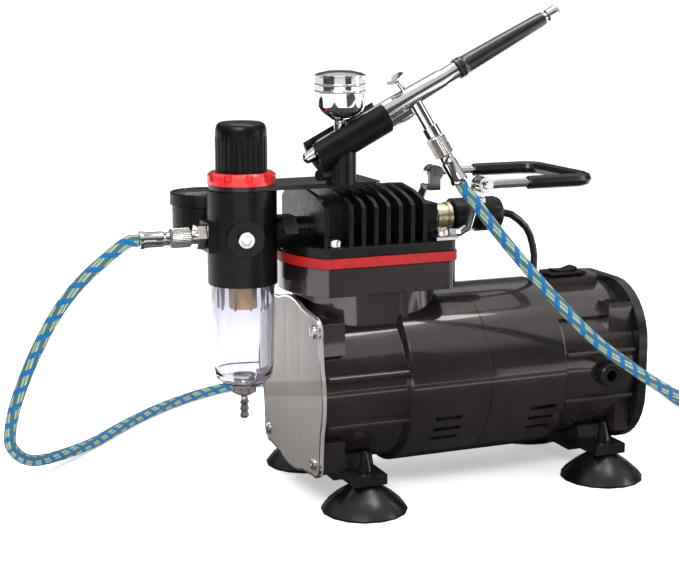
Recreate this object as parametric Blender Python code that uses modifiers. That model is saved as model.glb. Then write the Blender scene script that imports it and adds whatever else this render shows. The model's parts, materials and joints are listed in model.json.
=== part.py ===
"""Airbrush compressor: oil-less piston compressor with filter regulator, airbrush and hose.

Metres, +Z up. X runs along the motor's axis, with the regulator at -X. The camera side is -Y.
Sub-parts are placed in the machine's frame, whose X = 0 is the housing seam, and the empty
"machine" moves them all so that the origin is under the middle of the machine.
"""
import math

import bmesh
import bpy
from mathutils import Euler, Matrix, Vector

MACHINE_SHIFT = 0.02860  # from the housing seam to the middle of the machine's length

GAP = 0.0003

# motor
AXIS_Z = 0.066
BAND_R = 0.052
BAND_HALF = 0.051
END_R = 0.048
HOUSING_END = 0.1035
SHELL = 0.0035
PLATE_T = 0.0022
EAR_SPREAD = 0.0385
EAR_R = 0.0085
REAR_SPREAD = 0.0355
REAR_COVER = 0.1020
VENT_RING = 0.0270
SHAFT_R = 0.005
WEB_BORE_R = 0.0123

# cylinder and head
BORE_X = -0.064
BORE_R = 0.0198
SLEEVE_T = 0.0022
FLANGE_BOTTOM = 0.1228
FLANGE_TOP = 0.1390
GASKET_TOP = 0.1452
HEAD_BASE_TOP = 0.1508
FIN_SHOULDER = 0.1725
FIN_TOP = 0.1812
FIN_T = 0.0024
FIN_HALF = 0.0350
FIRST_FIN = -0.0970
NEXT_FIN = -0.0820
FIN_PITCH = 0.0076
HEAD_LEFT = -0.0970
HEAD_RIGHT = -0.0155
FLANGE_HALF = 0.0380
FLANGE_BOW = 0.0150
NECK_HALF = 0.0300

# feet
FOOT_X = 0.0790
FOOT_Y = 0.0475
FOOT_R = 0.0250
PAD_BOTTOM = 0.0165
PAD_TOP = 0.0225

# regulator
REG_X = -0.1350
REG_R = 0.0200
REG_BOTTOM = 0.1280
REG_TOP = 0.1820
PORT_Z = 0.1560
BRACKET_T = 0.0025
GAUGE_X = -0.1445
GAUGE_Y = 0.0412
GAUGE_R = 0.0200

# handle
PIVOT_X = 0.0010
PIVOT_Z = 0.1820
HANDLE_HALF = 0.0350
HANDLE_REACH = 0.0720
ROD_R = 0.0026
GRIP_R = 0.0040
EYE_R = 0.0046

# pressure switch
SWITCH_Z = 0.1595
CABLE_X = 0.0550

# airbrush
BRUSH_TIP = (-0.1066, -0.0250, 0.1997)
BRUSH_SLOPE = math.radians(27.2)
STEM_AT = 0.0738
TRIGGER_AT = 0.0690
STEM_ROLL = math.radians(13)
CUP_X = -0.0849

# hose
HOSE_R = 0.0035
COIL_X = 0.0780
COIL_Y = 0.1500
COIL_MID_R = 0.0420
COIL_TURNS = 2


def clear_scene():
    for obj in list(bpy.data.objects):
        bpy.data.objects.remove(obj, do_unlink=True)


def new_collection(name):
    collection = bpy.data.collections.new(name)
    bpy.context.scene.collection.children.link(collection)
    return collection


clear_scene()
PARTS = new_collection("airbrush_compressor")
CUTTERS = new_collection("cutters")


# ---------------------------------------------------------------- materials

def material(name, colour, roughness, metallic):
    made = bpy.data.materials.get(name)
    if made is None:
        made = bpy.data.materials.new(name)
        made.use_nodes = True
        shader = made.node_tree.nodes["Principled BSDF"]
        shader.inputs["Base Color"].default_value = (*colour, 1.0)
        shader.inputs["Roughness"].default_value = roughness
        shader.inputs["Metallic"].default_value = metallic
    return made


METALLIC_PAINT = ("metallic_paint", (0.075, 0.064, 0.062), 0.28, 0.55)
HEAD_PAINT = ("head_paint", (0.020, 0.020, 0.020), 0.48, 0.1)
BLACK_PAINT = ("black_paint", (0.022, 0.022, 0.024), 0.42, 0.0)
ALUMINIUM = ("aluminium", (0.55, 0.52, 0.50), 0.38, 0.9)
STEEL = ("steel", (0.45, 0.45, 0.46), 0.30, 1.0)
CHROME = ("chrome", (0.80, 0.80, 0.82), 0.08, 1.0)
NICKEL = ("nickel", (0.66, 0.61, 0.58), 0.24, 1.0)
BRASS = ("brass", (0.83, 0.70, 0.38), 0.30, 0.9)
COPPER = ("copper", (0.55, 0.20, 0.09), 0.35, 0.9)
RED_GASKET = ("red_gasket", (0.52, 0.010, 0.012), 0.45, 0.0)
RED_PLASTIC = ("red_plastic", (0.66, 0.008, 0.014), 0.25, 0.0)
BLACK_PLASTIC = ("black_plastic", (0.014, 0.014, 0.016), 0.35, 0.0)
BLACK_RUBBER = ("black_rubber", (0.018, 0.018, 0.020), 0.45, 0.0)
CLEAR_PLASTIC = ("clear_plastic", (0.86, 0.87, 0.92), 0.05, 0.0)
FILTER_BRONZE = ("filter_bronze", (0.62, 0.36, 0.17), 0.80, 0.0)
HOSE_BLUE = ("hose_blue", (0.010, 0.19, 0.55), 0.70, 0.0)


# ---------------------------------------------------------------- building blocks

def add_object(name, data, finish=None):
    """Link a new object, as a part with a finish or as a cutter without one."""
    obj = bpy.data.objects.new(name, data)
    if finish is None:
        CUTTERS.objects.link(obj)
        obj.hide_render = True
        obj.display_type = "WIRE"
    else:
        PARTS.objects.link(obj)
        data.materials.append(material(*finish))
    obj.parent = machine
    return obj


def smooth(mesh, degrees=35):
    mesh.shade_smooth()
    mesh.set_sharp_from_angle(angle=math.radians(degrees))


def place(obj, at=(0, 0, 0), turn=(0, 0, 0)):
    obj.location = at
    obj.rotation_euler = Euler(turn)
    return obj


ALONG_X = (0, math.pi / 2, 0)
ALONG_Y = (math.pi / 2, 0, 0)
FACING_X = (math.pi / 2, 0, math.pi / 2)


def box(name, size, at, finish=None, bevel=0.0, turn=(0, 0, 0)):
    mesh = bpy.data.meshes.new(name)
    shape = bmesh.new()
    bmesh.ops.create_cube(shape, size=1.0)
    bmesh.ops.scale(shape, vec=size, verts=shape.verts)
    shape.to_mesh(mesh)
    shape.free()
    obj = place(add_object(name, mesh, finish), at, turn)
    if bevel:
        soften(obj, bevel)
    return obj


def rod(name, radius, length, at, turn=(0, 0, 0), finish=None, sides=18):
    """A cylinder centred at a point, along its local Z."""
    mesh = bpy.data.meshes.new(name)
    shape = bmesh.new()
    bmesh.ops.create_cone(shape, cap_ends=True, segments=sides, radius1=radius, radius2=radius,
                          depth=length)
    shape.to_mesh(mesh)
    shape.free()
    smooth(mesh)
    return place(add_object(name, mesh, finish), at, turn)


def soften(obj, width, segments=1, degrees=40):
    bevel = obj.modifiers.new("soften", "BEVEL")
    bevel.width = width
    bevel.segments = segments
    bevel.limit_method = "ANGLE"
    bevel.angle_limit = math.radians(degrees)


def turned(name, profile, finish=None, at=(0, 0, 0), turn=(0, 0, 0), steps=20):
    """A profile of (radius, height), top to bottom down the outer side, turned about local Z.

    One that starts or ends off the axis is closed into a ring.
    """
    mesh = bpy.data.meshes.new(name)
    shape = bmesh.new()
    corners = [shape.verts.new((radius, 0, height)) for radius, height in profile]
    for first, second in zip(corners, corners[1:]):
        shape.edges.new((first, second))
    if profile[0][0] > 0 or profile[-1][0] > 0:
        shape.edges.new((corners[-1], corners[0]))
    shape.to_mesh(mesh)
    shape.free()
    obj = place(add_object(name, mesh, finish), at, turn)
    screw = obj.modifiers.new("turn", "SCREW")
    screw.steps = steps
    screw.render_steps = steps
    screw.use_merge_vertices = True
    screw.merge_threshold = 0.00001
    return obj


def tube_ring(outer, inner, top, bottom):
    """The profile of a plain sleeve."""
    return [(outer, top), (outer, bottom), (inner, bottom), (inner, top)]


def slab(name, outline, thickness, finish=None, at=(0, 0, 0), turn=(0, 0, 0), holes=()):
    """A flat outline with round or shaped holes, extruded about its own plane."""
    flat = bpy.data.curves.new(name, "CURVE")
    flat.dimensions = "2D"
    flat.fill_mode = "BOTH"
    flat.extrude = thickness / 2
    for loop in (outline, *holes):
        spline = flat.splines.new("POLY")
        spline.points.add(len(loop) - 1)
        for point, (across, up) in zip(spline.points, loop):
            point.co = (across, up, 0, 1)
        spline.use_cyclic_u = True
    return as_mesh(place(add_object(name, flat, finish), at, turn))


def as_mesh(obj):
    """Swap a curve object for the closed mesh of the same name and place."""
    name = obj.name
    depsgraph = bpy.context.evaluated_depsgraph_get()
    mesh = bpy.data.meshes.new_from_object(obj.evaluated_get(depsgraph))
    shape = bmesh.new()
    shape.from_mesh(mesh)
    bmesh.ops.remove_doubles(shape, verts=shape.verts, dist=0.00001)
    bmesh.ops.recalc_face_normals(shape, faces=shape.faces)
    shape.to_mesh(mesh)
    shape.free()
    smooth(mesh)
    swap = bpy.data.objects.new(name + "_mesh", mesh)
    for collection in obj.users_collection:
        collection.objects.link(swap)
    swap.hide_render = obj.hide_render
    swap.display_type = obj.display_type
    swap.parent = obj.parent
    swap.location = obj.location
    swap.rotation_euler = obj.rotation_euler
    bpy.data.objects.remove(obj, do_unlink=True)
    swap.name = name
    return swap


def wire(name, points, radius, finish=None, resolution=2, closed=False):
    """A round rod through the given points."""
    curve = bpy.data.curves.new(name, "CURVE")
    curve.dimensions = "3D"
    curve.bevel_depth = radius
    curve.bevel_resolution = resolution
    curve.use_fill_caps = True
    spline = curve.splines.new("POLY")
    spline.points.add(len(points) - 1)
    for point, place_at in zip(spline.points, points):
        point.co = (*place_at, 1)
    spline.use_cyclic_u = closed
    return as_mesh(add_object(name, curve, finish))


def combine(obj, other, operation="DIFFERENCE"):
    step = obj.modifiers.new(other.name, "BOOLEAN")
    step.operation = operation
    step.solver = "EXACT"
    step.object = other
    return obj


def cut(obj, *cutters):
    for cutter in cutters:
        combine(obj, cutter, "DIFFERENCE")
    return obj


def join(obj, *others):
    for other in others:
        combine(obj, other, "UNION")
    return obj


def arc(centre, radius, start, end, count):
    """Points of a round stretch, with angles in degrees."""
    points = []
    for step in range(count + 1):
        angle = math.radians(start + (end - start) * step / count)
        points.append((centre[0] + radius * math.cos(angle), centre[1] + radius * math.sin(angle)))
    return points


def circle(radius, count=24, centre=(0, 0)):
    return arc(centre, radius, 0, 360 - 360 / count, count - 1)


def hexagon(across_flats, centre=(0, 0)):
    return circle(across_flats / math.sqrt(3), 6, centre)


def rounded_box(width, height, radius, count=4):
    """A rectangle with round corners, about its centre."""
    across = width / 2 - radius
    up = height / 2 - radius
    corners = ((across, up, 0), (-across, up, 90), (-across, -up, 180), (across, -up, 270))
    outline = []
    for corner_x, corner_y, start in corners:
        outline += arc((corner_x, corner_y), radius, start, start + 90, count)
    return outline


def smooth_route(points, spacing, start=None, end=None):
    """Points along a smooth curve through hand-chosen ones, evenly spaced.

    start and end are the directions in which the route leaves and arrives.
    """
    knots = [Vector(point) for point in points]
    tangents = []
    for index, knot in enumerate(knots):
        before = knots[max(index - 1, 0)]
        after = knots[min(index + 1, len(knots) - 1)]
        tangents.append((after - before).normalized())
    if start is not None:
        tangents[0] = Vector(start).normalized()
    if end is not None:
        tangents[-1] = Vector(end).normalized()
    fine = []
    for index in range(len(knots) - 1):
        first, last = knots[index], knots[index + 1]
        reach = (last - first).length
        for step in range(20):
            t = step / 20
            fine.append(
                first * (2 * t**3 - 3 * t**2 + 1)
                + tangents[index] * reach * (t**3 - 2 * t**2 + t)
                + last * (3 * t**2 - 2 * t**3)
                + tangents[index + 1] * reach * (t**3 - t**2)
            )
    fine.append(knots[-1])
    lengths = [0.0]
    for first, last in zip(fine, fine[1:]):
        lengths.append(lengths[-1] + (last - first).length)
    count = max(2, round(lengths[-1] / spacing))
    route = []
    index = 0
    for step in range(count + 1):
        goal = lengths[-1] * step / count
        while index < len(fine) - 2 and lengths[index + 1] < goal:
            index += 1
        span = lengths[index + 1] - lengths[index]
        route.append(fine[index].lerp(fine[index + 1], min(1.0, (goal - lengths[index]) / span)))
    return route


machine = bpy.data.objects.new("machine", None)
PARTS.objects.link(machine)
machine.location = (MACHINE_SHIFT, 0, 0)


# ---------------------------------------------------------------- motor

def motor_body(name, outer_end, direction):
    """Half of the motor as a solid: a wide band at the seam and a narrower end section."""
    profile = [(0, outer_end), (END_R, outer_end), (END_R, BAND_HALF + 0.0015),
               (BAND_R - 0.0010, BAND_HALF),
               (BAND_R, BAND_HALF - 0.0010), (BAND_R, GAP / 2), (0, GAP / 2)]
    return turned(name, profile, METALLIC_PAINT, at=(0, 0, AXIS_Z), turn=(0, direction * math.pi / 2, 0),
                  steps=40)


def hollow_motor(body, direction, outer_end, web_at):
    """Bore the motor half from both ends and leave a web for the bearing between the hollows."""
    web = 0.005
    band_depth = BAND_HALF - 0.005
    hollows = [
        (-0.001, band_depth, BAND_R - SHELL, 40),
        (band_depth - 0.001, web_at - web, END_R - SHELL, 40),
        (web_at, outer_end + 0.001, END_R - SHELL, 40),
        (web_at - 2 * web, web_at + web, WEB_BORE_R, 24),
    ]
    for index, (start, end, radius, sides) in enumerate(hollows):
        if end - start > 0.002:
            at = (direction * (start + end) / 2, 0, AXIS_Z)
            cut(body, rod(f"{body.name}_hollow_{index}", radius, end - start, at, ALONG_X, sides=sides))
    return body


def ear_blocks(name, x_end, spread, upper_length, lower_length, height):
    """Four square lugs that take the end screws, outside the round shell."""
    blocks = []
    for level, length in ((1, upper_length), (-1, lower_length)):
        middle = AXIS_Z + level * (spread + EAR_R * 0.6 - height / 2)
        for side in (-1, 1):
            centre = (x_end - math.copysign(length / 2, x_end), side * spread, middle)
            blocks.append(box(f"{name}_{side}_{level}", (length, 0.0135, height), centre))
    return blocks


def long_ribs(name, x_from, x_to, angles, rise):
    """Straight ridges along an end section; angles are up from the camera side."""
    ribs = []
    for angle in angles:
        for side in (-1, 1):
            tilt = math.radians(angle)
            reach = END_R - 0.001 + rise / 2
            at = ((x_from + x_to) / 2, side * reach * math.cos(tilt), AXIS_Z + reach * math.sin(tilt))
            size = (abs(x_to - x_from), rise + 0.002, 0.0030)
            ribs.append(box(f"{name}_{angle}_{side}", size, at, turn=(side * tilt, 0, 0)))
    return ribs


def vent_slots(name, x_centre):
    """Three lens-shaped slots low on each side of the band."""
    slots = []
    for side in (-1, 1):
        for row in range(3):
            tilt = math.radians(-20 - 8.5 * row)
            reach = BAND_R - SHELL / 2
            at = (x_centre, side * reach * math.cos(tilt), AXIS_Z + reach * math.sin(tilt))
            size = (0.017, 0.009, 0.0030)
            slots.append(box(f"{name}_{side}_{row}", size, at, turn=(side * tilt, 0, 0)))
    return slots


def flange_outline(grow=0.0):
    """The cylinder flange from above: straight sides and a bowed end at the regulator."""
    half = FLANGE_HALF + grow
    bow_r = (half**2 + FLANGE_BOW**2) / (2 * FLANGE_BOW)
    swing = math.degrees(math.asin(half / bow_r))
    bow_centre = HEAD_LEFT - grow - FLANGE_BOW + bow_r
    corner = 0.007
    right = HEAD_RIGHT + grow - corner
    outline = arc((bow_centre, 0), bow_r, 180 - swing, 180 + swing, 12)
    outline += arc((right, -half + corner), corner, 270, 360, 4)
    outline += arc((right, half - corner), corner, 0, 90, 4)
    return outline


def crankcase():
    shell = motor_body("crankcase", HOUSING_END, -1)
    neck = slab("neck", rounded_box(0.086, 2 * NECK_HALF, NECK_HALF - 0.001, 6), FLANGE_TOP - 0.085,
                at=(-0.0600, 0, (FLANGE_TOP + 0.085) / 2))
    flange = slab("flange", flange_outline(), FLANGE_TOP - FLANGE_BOTTOM,
                  at=(0, 0, (FLANGE_TOP + FLANGE_BOTTOM) / 2))
    rib = box("neck_rib", (0.004, 0.004, 0.034), (-0.0470, -NECK_HALF, 0.108))
    bore = rod("bore", BORE_R + SLEEVE_T + GAP, 0.080, (BORE_X, 0, 0.105), sides=40)
    join(shell, neck, flange, rib)
    join(shell, *ear_blocks("front_ear", -HOUSING_END, EAR_SPREAD, 0.0135, 0.0135, 0.0185))
    join(shell, *long_ribs("front_rib", -0.1015, -BAND_HALF + 0.001, (14, -19), 0.0028))
    hollow_motor(shell, -1, HOUSING_END, 0.051)
    cut(shell, bore, *vent_slots("front_slot", -0.026))
    return cut(shell, *bolt_cutters("case_bolt", 0.1240, 0.1400))


def rear_housing():
    rear_end = HOUSING_END - 0.003
    shell = motor_body("rear_housing", rear_end, 1)
    join(shell, *ear_blocks("rear_ear", rear_end, REAR_SPREAD, 0.0165, 0.0100, 0.0180))
    join(shell, *long_ribs("rear_rib", BAND_HALF - 0.001, 0.0995, (42, 14, -19), 0.0028))
    deck = box("switch_deck", (0.034, 0.026, 0.010), (0.0760, 0, 0.1130))
    join(shell, deck)
    hollow_motor(shell, 1, rear_end, 0.088)
    switch_hole = box("switch_hole", (0.0215, 0.0135, 0.030), (0.0760, 0, 0.1130))
    cord_hole = rod("cord_hole", 0.0060 + GAP, 0.020, (0.0800, -0.0470, 0.0645), ALONG_Y)
    cable_hole = rod("cable_hole", 0.0027, 0.016, (CABLE_X, 0, 0.1150), sides=12)
    return cut(shell, switch_hole, cord_hole, cable_hole, *vent_slots("rear_slot", 0.0365))


def bearing(name, x_centre):
    turned(name, tube_ring(WEB_BORE_R - GAP, SHAFT_R + GAP, 0.0020, -0.0020), STEEL,
           at=(x_centre, 0, AXIS_Z), turn=ALONG_X)


def ear_plate_outline(radius, ear_r):
    """A round end plate with four rounded ears."""
    outline = []
    for quarter in range(4):
        middle = 45 + 90 * quarter
        bend = math.radians(middle)
        ear = (EAR_SPREAD * math.sqrt(2) * math.cos(bend), EAR_SPREAD * math.sqrt(2) * math.sin(bend))
        outline += arc((0, 0), radius, middle - 45, middle - 24, 4)
        outline += arc(ear, ear_r, middle - 62, middle + 62, 5)
        outline += arc((0, 0), radius, middle + 24, middle + 43, 4)
    return outline


def screw_heads(name, x_at, spread, radius, length):
    heads = []
    for side in (-1, 1):
        for level in (-1, 1):
            at = (x_at, side * spread, AXIS_Z + level * spread)
            heads.append(rod(f"{name}_{side}_{level}", radius, length, at, ALONG_X, sides=8))
    return heads


def front_end_plate():
    centre_x = -HOUSING_END - GAP - PLATE_T / 2
    plate = slab("front_end_plate", ear_plate_outline(0.0520, EAR_R), PLATE_T, ALUMINIUM,
                 at=(centre_x, 0, AXIS_Z), turn=FACING_X)
    return join(plate, *screw_heads("front_head", centre_x - 0.0012, EAR_SPREAD, 0.0036, 0.0034))


def rear_end_cover():
    outer = HOUSING_END - 0.003 + GAP
    cover = slab("rear_end_cover", rounded_box(REAR_COVER, REAR_COVER, 0.0360, 8), 0.0060, BLACK_PAINT,
                 at=(outer + 0.0030, 0, AXIS_Z), turn=FACING_X)
    join(cover, *screw_heads("rear_head", outer + 0.0062, REAR_SPREAD, 0.0036, 0.0022))
    vents = []
    for index in range(12):
        swing = 2 * math.pi * (index + 0.5) / 12
        at = (outer + 0.0030, -VENT_RING * math.sin(swing), AXIS_Z + VENT_RING * math.cos(swing))
        vents.append(box(f"cover_vent_{index}", (0.0200, 0.0034, 0.0190), at, turn=(swing, 0, 0)))
    return cut(cover, *vents)


def stator():
    core = turned("stator_core", tube_ring(BAND_R - SHELL - GAP, 0.0245, 0.036, -0.030), STEEL,
                  at=(0, 0, AXIS_Z), turn=ALONG_X, steps=40)
    winding = [(0.040, 0.052), (0.044, 0.048), (0.044, 0.041), (0.040, 0.0365), (0.0265, 0.0365),
               (0.0265, 0.048), (0.030, 0.052)]
    turned("stator_windings", winding, COPPER, at=(0, 0, AXIS_Z), turn=ALONG_X)
    return core


def rotor_shaft():
    """Rotor, shaft and crank web in one turned piece, with its counterweight cut away."""
    profile = [
        (0, 0.0945), (SHAFT_R, 0.0945), (SHAFT_R, 0.036), (0.0235, 0.036), (0.0235, -0.030),
        (SHAFT_R, -0.030), (SHAFT_R, -0.0535), (0.0170, -0.0535), (0.0170, -0.0585), (0, -0.0585),
    ]
    shaft = turned("rotor_shaft", profile, STEEL, at=(0, 0, AXIS_Z), turn=ALONG_X)
    bites = [rod(f"web_bite_{side}", 0.012, 0.0056, (-0.0562, side * 0.0175, AXIS_Z - 0.006), ALONG_X)
             for side in (-1, 1)]
    return cut(shaft, *bites)


def cooling_fan():
    hub = turned("cooling_fan", tube_ring(0.0110, SHAFT_R + GAP, 0.0060, -0.0060), BLACK_PLASTIC,
                 at=(0.0700, 0, AXIS_Z), turn=ALONG_X)
    for index in range(7):
        angle = 2 * math.pi * index / 7
        at = (0.0700, 0.0225 * math.sin(angle), AXIS_Z + 0.0225 * math.cos(angle))
        join(hub, box(f"blade_{index}", (0.0090, 0.0016, 0.0270), at, turn=(-angle, 0, 0)))
    return hub


# ---------------------------------------------------------------- cylinder and head

WRIST_Z = 0.1240
ROD_LENGTH = 0.0500


def piston():
    body = turned("piston", [(0, 0.010), (BORE_R - GAP, 0.010), (BORE_R - GAP, -0.010), (0.0160, -0.010),
                             (0.0160, 0.006), (0, 0.006)], ALUMINIUM,
                  at=(BORE_X, 0, WRIST_Z), steps=32)
    pin = rod("wrist_pin", 0.0030, 0.0340, (BORE_X, 0, WRIST_Z), ALONG_X, sides=16)
    return join(body, pin)


def connecting_rod():
    """Small end on the wrist pin, big end beside the crank web; its origin is on the wrist pin."""
    small = turned("connecting_rod", tube_ring(0.0058, 0.0033, 0.0045, -0.0045), ALUMINIUM,
                   at=(BORE_X, 0, WRIST_Z), turn=ALONG_X, steps=20)
    big = turned("big_end", tube_ring(0.0110, 0.0065, 0.0045, -0.0045),
                 at=(BORE_X, 0, WRIST_Z - ROD_LENGTH), turn=ALONG_X)
    shank = box("shank", (0.0060, 0.0070, 0.0360), (BORE_X, 0, WRIST_Z - 0.0220))
    hole = rod("big_bore", 0.0065, 0.020, (BORE_X, 0, WRIST_Z - ROD_LENGTH), ALONG_X)
    pin_hole = rod("pin_bore", 0.0033, 0.020, (BORE_X, 0, WRIST_Z), ALONG_X, sides=20)
    return cut(join(small, big, shank), hole, pin_hole)


def cylinder_sleeve():
    turned("cylinder_sleeve", tube_ring(BORE_R + SLEEVE_T, BORE_R, FLANGE_TOP, 0.1000), STEEL,
           at=(BORE_X, 0, 0), steps=32)


VALVE_R = 0.0250


def valve_plate():
    top = GASKET_TOP - GAP
    plate = turned("valve_plate", [(0, top), (VALVE_R, top), (VALVE_R, FLANGE_TOP + GAP),
                                   (0, FLANGE_TOP + GAP)],
                   STEEL, at=(BORE_X, 0, 0), steps=32)
    ports = [rod(f"valve_port_{side}", 0.0022, 0.020, (BORE_X + side * 0.009, 0, 0.142), sides=12)
             for side in (-1, 1)]
    return cut(plate, *ports)


def head_gasket():
    middle = (FLANGE_TOP + GASKET_TOP) / 2
    slab("head_gasket", flange_outline(0.0006), GASKET_TOP - FLANGE_TOP - 2 * GAP, RED_GASKET,
         at=(0, 0, middle), holes=(circle(VALVE_R + GAP, 32, (BORE_X, 0)), *bolt_holes()))


BOLT_SPOTS = ((-0.0912, -0.0320), (-0.0912, 0.0320), (-0.0240, -0.0310), (-0.0240, 0.0310))
FOOT_T = 0.0020
BOLT_R = 0.0022


def bolt_holes():
    return [circle(BOLT_R + GAP, 12, spot) for spot in BOLT_SPOTS]


def bolt_cutters(name, bottom, top):
    cutters = []
    for index, (x_at, y_at) in enumerate(BOLT_SPOTS):
        at = (x_at, y_at, (bottom + top) / 2)
        cutters.append(rod(f"{name}_{index}", BOLT_R + GAP, top - bottom, at, sides=16))
    return cutters


def fin_outline():
    """A fin seen along the motor: straight sides, sloped shoulders and an arched top."""
    outline = [(-FIN_HALF, HEAD_BASE_TOP - 0.001), (FIN_HALF, HEAD_BASE_TOP - 0.001),
               (FIN_HALF, FIN_SHOULDER)]
    outline += [(0.0310, FIN_SHOULDER + 0.0030), (0.0180, FIN_TOP - 0.0022)]
    outline += [(0.0, FIN_TOP), (-0.0180, FIN_TOP - 0.0022), (-0.0310, FIN_SHOULDER + 0.0030)]
    outline.append((-FIN_HALF, FIN_SHOULDER))
    return outline


def fin_places():
    return [FIRST_FIN] + [NEXT_FIN + FIN_PITCH * index for index in range(7)]


def cylinder_head():
    bottom = GASKET_TOP
    head = slab("cylinder_head", flange_outline(), HEAD_BASE_TOP - bottom, HEAD_PAINT,
                at=(0, 0, (HEAD_BASE_TOP + bottom) / 2))
    core_span = (FIRST_FIN - 0.0010, -0.0340)
    core = box("head_core", (core_span[1] - core_span[0], 0.046, 0.0230),
               (sum(core_span) / 2, 0, HEAD_BASE_TOP + 0.0105))
    outlet = box("outlet_block", (0.0150, 0.030, 0.0200), (-0.0265, 0, HEAD_BASE_TOP + 0.0090))
    join(head, core, outlet)
    for index, x_at in enumerate(fin_places()):
        join(head, slab(f"fin_{index}", fin_outline(), FIN_T, at=(x_at, 0, 0), turn=FACING_X))
    boss = rod("inlet_boss", 0.0085, 0.010, (-0.0990, 0, PORT_Z), ALONG_X)
    join(head, boss)
    pocket = rod("fitting_pocket", 0.0115, 0.0095, (-0.1090, 0, PORT_Z), ALONG_X)
    plenum = rod("plenum", 0.0180, 0.014, (BORE_X, 0, 0.1500), sides=32)
    ports = [
        rod("inlet_way", 0.0030, 0.040, (-0.0950, 0, PORT_Z), ALONG_X, sides=16),
        rod("outlet_way", 0.0030, 0.040, (-0.0350, 0, SWITCH_Z - 0.003), ALONG_X, sides=16),
    ]
    return cut(head, pocket, plenum, *ports, *bolt_cutters("head_bolt_hole", 0.140, 0.160))


def head_bolts():
    """Slotted cheese-head bolts that clamp the head, gasket and flange, two through the handle's feet."""
    for index, (x_at, y_at) in enumerate(BOLT_SPOTS):
        under = HEAD_BASE_TOP + GAP
        if index > 1:
            under += FOOT_T + GAP
        profile = [(0, under + 0.0042), (0.0034, under + 0.0042), (0.0042, under + 0.0034), (0.0042, under),
                   (BOLT_R, under), (BOLT_R, 0.1245), (0, 0.1245)]
        bolt = turned(f"head_bolt_{index + 1}", profile, NICKEL, at=(x_at, y_at, 0), steps=12)
        slot = box(f"bolt_slot_{index}", (0.0012, 0.012, 0.0030), (x_at, y_at, under + 0.0042),
                   turn=(0, 0, math.radians(10 + 70 * index)))
        cut(bolt, slot)


# ---------------------------------------------------------------- feet

def foot_bracket(name, x_centre):
    """A saddle under the motor with a sloping arm and a pad at each end."""
    half = FOOT_Y + 0.010
    arm = FOOT_Y - 0.010
    outline = [(half, PAD_BOTTOM), (half, PAD_TOP), (arm, PAD_TOP), (0.0345, 0.0290), (0.0325, 0.0298)]
    outline += arc((0, AXIS_Z), END_R + GAP + 0.0002, -50, -130, 12)
    outline += [(-0.0325, 0.0298), (-0.0345, 0.0290), (-arm, PAD_TOP), (-half, PAD_TOP),
                (-half, PAD_BOTTOM)]
    outline += [(-arm, PAD_BOTTOM - 0.0006), (-0.0250, 0.0110), (0.0250, 0.0110),
                (arm, PAD_BOTTOM - 0.0006)]
    bracket = slab(name, outline, 0.0200, BLACK_PAINT, at=(x_centre, 0, 0), turn=FACING_X)
    holes = [rod(f"{name}_hole_{side}", 0.0040, 0.030, (x_centre, side * FOOT_Y, 0.020), sides=16)
             for side in (-1, 1)]
    return cut(bracket, *holes)


def suction_feet():
    """Rubber cups, hollow underneath, with a waist through the pad and a nipple above it."""
    spots = ((-FOOT_X, -FOOT_Y), (FOOT_X, -FOOT_Y), (-FOOT_X, FOOT_Y), (FOOT_X, FOOT_Y))
    profile = [(0, 0.0350), (0.0016, 0.0345), (0.0046, PAD_TOP + GAP), (0.0037, PAD_TOP + GAP),
               (0.0037, PAD_BOTTOM - 0.0009),
               (0.0085, PAD_BOTTOM - 0.0009), (0.0100, 0.0138), (0.0165, 0.0095), (0.0222, 0.0045), (FOOT_R,
                                                                                                     0.0010), (FOOT_R, 0.0),
               (FOOT_R - 0.0040, 0.0), (0.0170, 0.0050), (0.0, 0.0085)]
    for index, spot in enumerate(spots):
        turned(f"suction_foot_{index + 1}", profile, BLACK_RUBBER, at=(*spot, 0), steps=16)


# ---------------------------------------------------------------- filter regulator

def regulator_body():
    """Body and bonnet in one turned piece with ports; open below for the bowl, above for the screw."""
    bonnet_top = REG_TOP + 0.0165
    profile = [
        (0.0118, bonnet_top), (0.0118, REG_TOP), (REG_R, REG_TOP), (REG_R, REG_BOTTOM),
        (0.0165, REG_BOTTOM), (0.0165, 0.1450), (0.0040, 0.1450), (0.0040, 0.1650),
        (0.0088, 0.1650), (0.0088, bonnet_top),
    ]
    body = turned("regulator_body", profile, BLACK_PLASTIC, at=(REG_X, 0, 0))
    join(body,
         rod("inlet_port", 0.0095, 0.006, (REG_X + REG_R - 0.0005, 0, PORT_Z), ALONG_X),
         box("outlet_port", (0.0060, 0.0170, 0.0170), (REG_X - REG_R + 0.0005, 0, PORT_Z)),
         rod("plug_ring", 0.0105, 0.0050, plug_place(0.0185), plug_turn(), sides=28),
         rod("plug", 0.0048, 0.0050, plug_place(0.0205), plug_turn(), sides=20))
    socket = slab("plug_socket", hexagon(0.0042), 0.0040, at=plug_place(0.0230), turn=plug_turn())
    ways = rod("port_way", 0.0040, 0.060, (REG_X, 0, PORT_Z), ALONG_X, sides=16)
    gauge_way = rod("gauge_way", 0.0030, 0.024, (REG_X, 0.0120, PORT_Z), ALONG_Y, sides=16)
    return cut(body, socket, ways, gauge_way)


PLUG_SWING = math.radians(-12)


def plug_place(reach):
    return (REG_X + reach * math.sin(PLUG_SWING), -reach * math.cos(PLUG_SWING), PORT_Z)


def plug_turn():
    return (math.pi / 2, 0, PLUG_SWING)


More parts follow.
